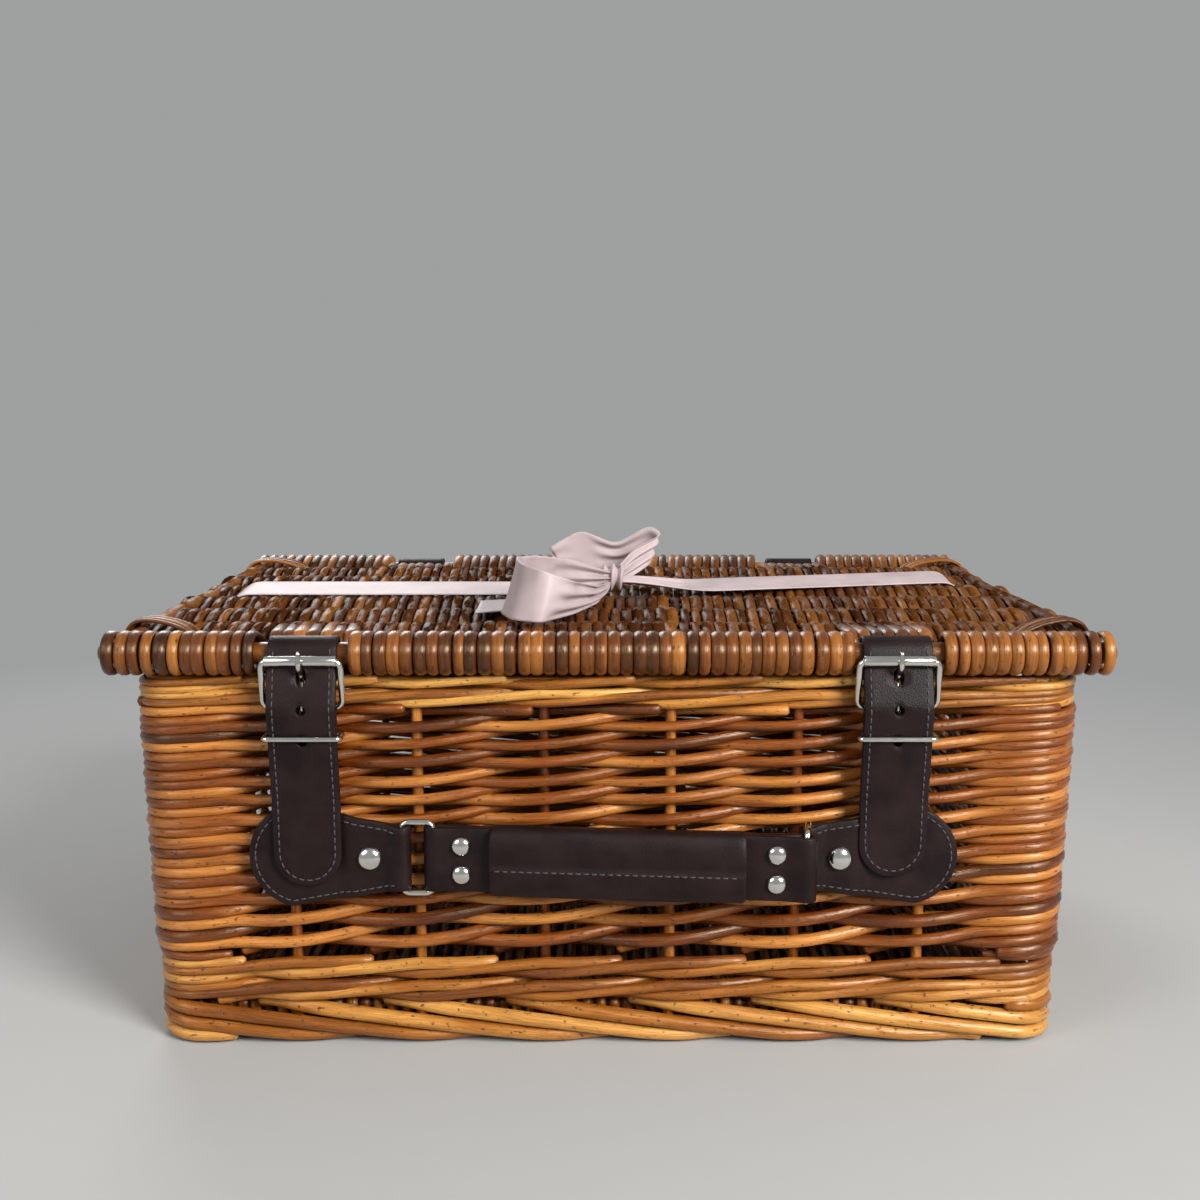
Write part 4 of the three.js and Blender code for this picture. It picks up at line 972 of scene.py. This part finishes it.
# Corner ties: split strands over the side rods, tucked into the weave
ties = Rods()
lid_corners = [(w, h) for w in ("front", "back") for h in HANDS]
for w, h in lid_corners:
    low, high = (np.array(p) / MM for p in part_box(f"corner_tie_{w}_{h}"))
    sign = 1 if h == "right" else -1
    slope = 0.25 if w == "front" else -0.25
    for k in range(4):
        x = np.array([204.6, 205.4, 203.6, 199.4, 192.0, 184.0, 177.0, 172.5]) - 0.7 * k
        z = np.array([165.0, 171.0, 175.6, 178.6, 178.9, 177.6, 175.2, 171.0]) + 0.35 * (k % 2)
        y = (low[1] + high[1]) / 2 + 2.3 * (k - 1.5) + slope * (x - 190) + rng.uniform(-0.5, 0.5)
        strand = softened(np.stack([sign * x, y, z], -1), 1.0, 6.0)
        ties.add(strand, 1.3, Y, age=0.15, form=(1.0, 0.7))
ties.make("corner_ties", LID_WILLOW, "lid", "willow", *[f"corner_tie_{w}_{h}" for w, h in lid_corners])

# Satin ribbon across the lid and its bow


def satin():
    """Pale satin with fine threads along the ribbon and a soft sheen."""
    m = Nodes("pale_satin")
    flat = m.attribute("flat")
    threads = m.noise(m.stretched(flat, (9.0, 0.9, 1.0)), 1.0, 2)
    cloud = m.noise(flat, 0.05, 2)
    colour = m.mix(m.ramp(cloud, (0.3, 0.0), (0.7, 1.0)), (0.40, 0.315, 0.315), (0.5, 0.4, 0.4))
    m.set(Base_Color=colour, Roughness=m.maths("MULTIPLY_ADD", threads, 0.14, 0.34), Specular_IOR_Level=0.18)
    m.bump(threads, 0.12, 0.0002)
    return m.material


SATIN = satin()
RIBBON_W, PLEATS = 25.0, 2.5


def ribbon(name, first, second, node, thick=0.5, rows=25):
    """A ribbon between its two long edges, each a line of points. Where they draw together, it is pleated."""
    first, second = (softened(e, 0.5, 9.0) for e in (first, second))
    length = np.mean([np.linalg.norm(np.diff(e, axis=0), axis=1).sum() for e in (first, second)])
    n = int(length / 1.5)
    first, second = (e[np.linspace(0, len(e) - 1, n).round().astype(int)] for e in (first, second))
    u = np.linspace(0, 1, rows)
    middle = first[:, None] * (1 - u)[None, :, None] + second[:, None] * u[None, :, None]
    along = np.gradient(middle, axis=0)
    across = np.gradient(middle, axis=1)
    normal = np.cross(along, across)
    normal /= np.maximum(np.linalg.norm(normal, axis=2), 1e-9)[..., None]
    at = np.linspace(0, length, n)
    width = np.linalg.norm(second - first, axis=1)
    slack = np.maximum(0.82 * RIBBON_W / np.maximum(width, 6.0), 1.0)
    depth = 1.15 * np.sqrt(slack**2 - 1) * width / (TURN * PLEATS)
    pleat = depth[:, None] * np.sin(TURN * PLEATS * u)[None]
    bulge = 0.5 * np.sin(at / 13.0)[:, None] * np.sin(math.pi * u)[None]
    middle = middle + (pleat + bulge)[..., None] * normal
    points = np.concatenate([middle + thick / 2 * normal, middle - thick / 2 * normal]).reshape(-1, 3)
    faces = []
    top, under = (lambda i, j: i * rows + j), (lambda i, j: (n + i) * rows + j)
    for i in range(n - 1):
        for j in range(rows - 1):
            faces.append((top(i, j), top(i, j + 1), top(i + 1, j + 1), top(i + 1, j)))
            faces.append((under(i, j), under(i + 1, j), under(i + 1, j + 1), under(i, j + 1)))
        for j in (0, rows - 1):
            faces.append((top(i, j), top(i + 1, j), under(i + 1, j), under(i, j))[:: 1 if j == 0 else -1])
    for i in (0, n - 1):
        for j in range(rows - 1):
            faces.append((top(i, j), under(i, j), under(i, j + 1), top(i, j + 1))[:: 1 if i == 0 else -1])
    mesh = bpy.data.meshes.new(name)
    mesh.from_pydata((points * MM).tolist(), [], faces)
    flat = joined((RIBBON_W * u)[None], at[:, None], 0.0)
    note(mesh, "flat", np.concatenate([flat, flat]))
    face_out(mesh)
    made = place(mesh, SATIN, "lid", "satin", node)


KNOT_X, KNOT_Y, BAND_END = 3, 2.5, 187


def band_edge(side):
    """One edge of the band, which narrows to the knot and dips into the weave at both ends."""
    points = []
    for x in np.linspace(-BAND_END, BAND_END, 120):
        near = abs(x - KNOT_X)
        width = 4.5 + 8.0 * smooth((near - 4) / 52)
        y = np.interp(x, [-BAND_END, KNOT_X, BAND_END], [2.0, KNOT_Y, 51.0])
        tucked = smooth((abs(x) - 178) / 9)
        rise = 178.0 + 4.0 * (1 - smooth(near / 50)) - 6.5 * tucked
        slope = 0.12 * (1 - tucked)
        points.append((x, y + side * width, rise + slope * side * width))
    return points


ribbon("ribbon_across", band_edge(-1), band_edge(1), "ribbon_band")
upper = [(1, -2, 187), (-16, -30, 196), (-33, -58, 201), (-40, -76, 202), (-37, -94, 201.5), (-26, -105, 199)]
upper += [(-14, -98, 194), (-4, -62, 187), (0, -24, 183.5), (1, -6, 183)]
lower = [(1, -2, 180), (-20, -28, 179), (-40, -58, 178.4), (-47, -84, 178.4), (-41, -103, 178)]
lower += [(-28, -111, 178), (-14, -84, 178), (-4, -50, 178), (-1, -20, 178.6), (1, -6, 180)]
ribbon("bow_front_loop", upper, lower, "bow_loop_left")
upper = [(-8, -30, 178.4), (-34, -44, 179.2), (-58, -51, 179.0)]
lower = [(-14, -52, 177.2), (-38, -66, 177.0), (-59, -74, 176.8)]
ribbon("bow_tail", upper, lower, "bow_loop_left")
upper = [(5, 3, 187), (14, 9, 197), (29, 14, 204), (22, 20, 208), (5, 23, 198)]
upper += [(-13, 25, 205), (-29, 25, 196)]
lower = [(6, 4, 181), (15, 10, 184), (24, 16, 190), (21, 22, 188), (6, 25, 185)]
lower += [(-10, 26, 182), (-20, 25, 181)]
ribbon("bow_back_loop", upper, lower, "bow_loop_right")

# Knot: a turn of ribbon pulled tight round the bow's middle


def knot_edge(side):
    angle = np.linspace(-0.3 * TURN, 0.72 * TURN, 60)
    x = KNOT_X + side * 5.4 + 0.8 * np.sin(angle)
    return joined(x, KNOT_Y + 5.9 * np.cos(angle), 183.3 + 5.6 * np.sin(angle))


ribbon("tied_knot", knot_edge(-1), knot_edge(1), "bow_knot")

# Stage, light and camera


FLOOR_COLOUR, FLOOR_REACH = (0.43, 0.427, 0.415), 6


def floor_material():
    """Pale matt floor that fades into the backdrop away from the object."""
    m = Nodes("floor_matt")
    where = m.add("TexCoord").outputs["Object"]
    speckle = m.noise(where, 60.0, 4)
    m.set(Base_Color=m.mix(speckle, tuple(0.97 * c for c in FLOOR_COLOUR), FLOOR_COLOUR))
    away = m.add("VectorMath", {0: where}, operation="LENGTH").outputs["Value"]
    m.set(Roughness=0.9, Specular_IOR_Level=0.1, Alpha=m.ramp(away, (0.35, 1.0), (0.95, 0.0)))
    return m.material


floor_mesh = bpy.data.meshes.new("floor")
corners = [(FLOOR_REACH * x, FLOOR_REACH * y, 0) for x, y in ((-1, -1), (1, -1), (1, 1), (-1, 1))]
floor_mesh.from_pydata(corners, [], [(0, 1, 2, 3)])
floor = place(floor_mesh, floor_material(), None, None)

world = bpy.data.worlds.new("studio")
world.use_nodes = True
backdrop = world.node_tree.nodes["Background"].inputs
backdrop["Color"].default_value = (0.86, 0.88, 0.88, 1)
backdrop["Strength"].default_value = 0.4
bpy.context.scene.world = world


def lamp(name, spot, aim, size, power, spread):
    data = bpy.data.lights.new(name, "AREA")
    data.shape = "DISK"
    data.size, data.energy, data.spread = size, power, math.radians(spread)
    made = bpy.data.objects.new(name, data)
    made.location = spot
    made.rotation_euler = (Vector(aim) - Vector(spot)).to_track_quat("-Z", "Y").to_euler()
    bpy.context.scene.collection.objects.link(made)


lamp("key", (1.05, -1.35, 0.95), (0, 0, 0.08), 0.8, 20, 110)
lamp("fill", (-1.2, -1.1, 0.9), (0, 0, 0.1), 1.0, 6, 140)
lamp("back", (-0.6, 1.5, 1.1), (0, 0, 0.1), 1.0, 9, 140)

camera = bpy.data.cameras.new("camera")
camera.lens, camera.sensor_width = 45, 36
eye = bpy.data.objects.new("camera", camera)
eye.location = (-0.003, -0.737, 0.275)
DOWNWARD = 7.93
eye.rotation_euler = (math.radians(90 - DOWNWARD), 0, 0)
bpy.context.scene.collection.objects.link(eye)
bpy.context.scene.camera = eye
bpy.context.scene.view_settings.view_transform = "Standard"
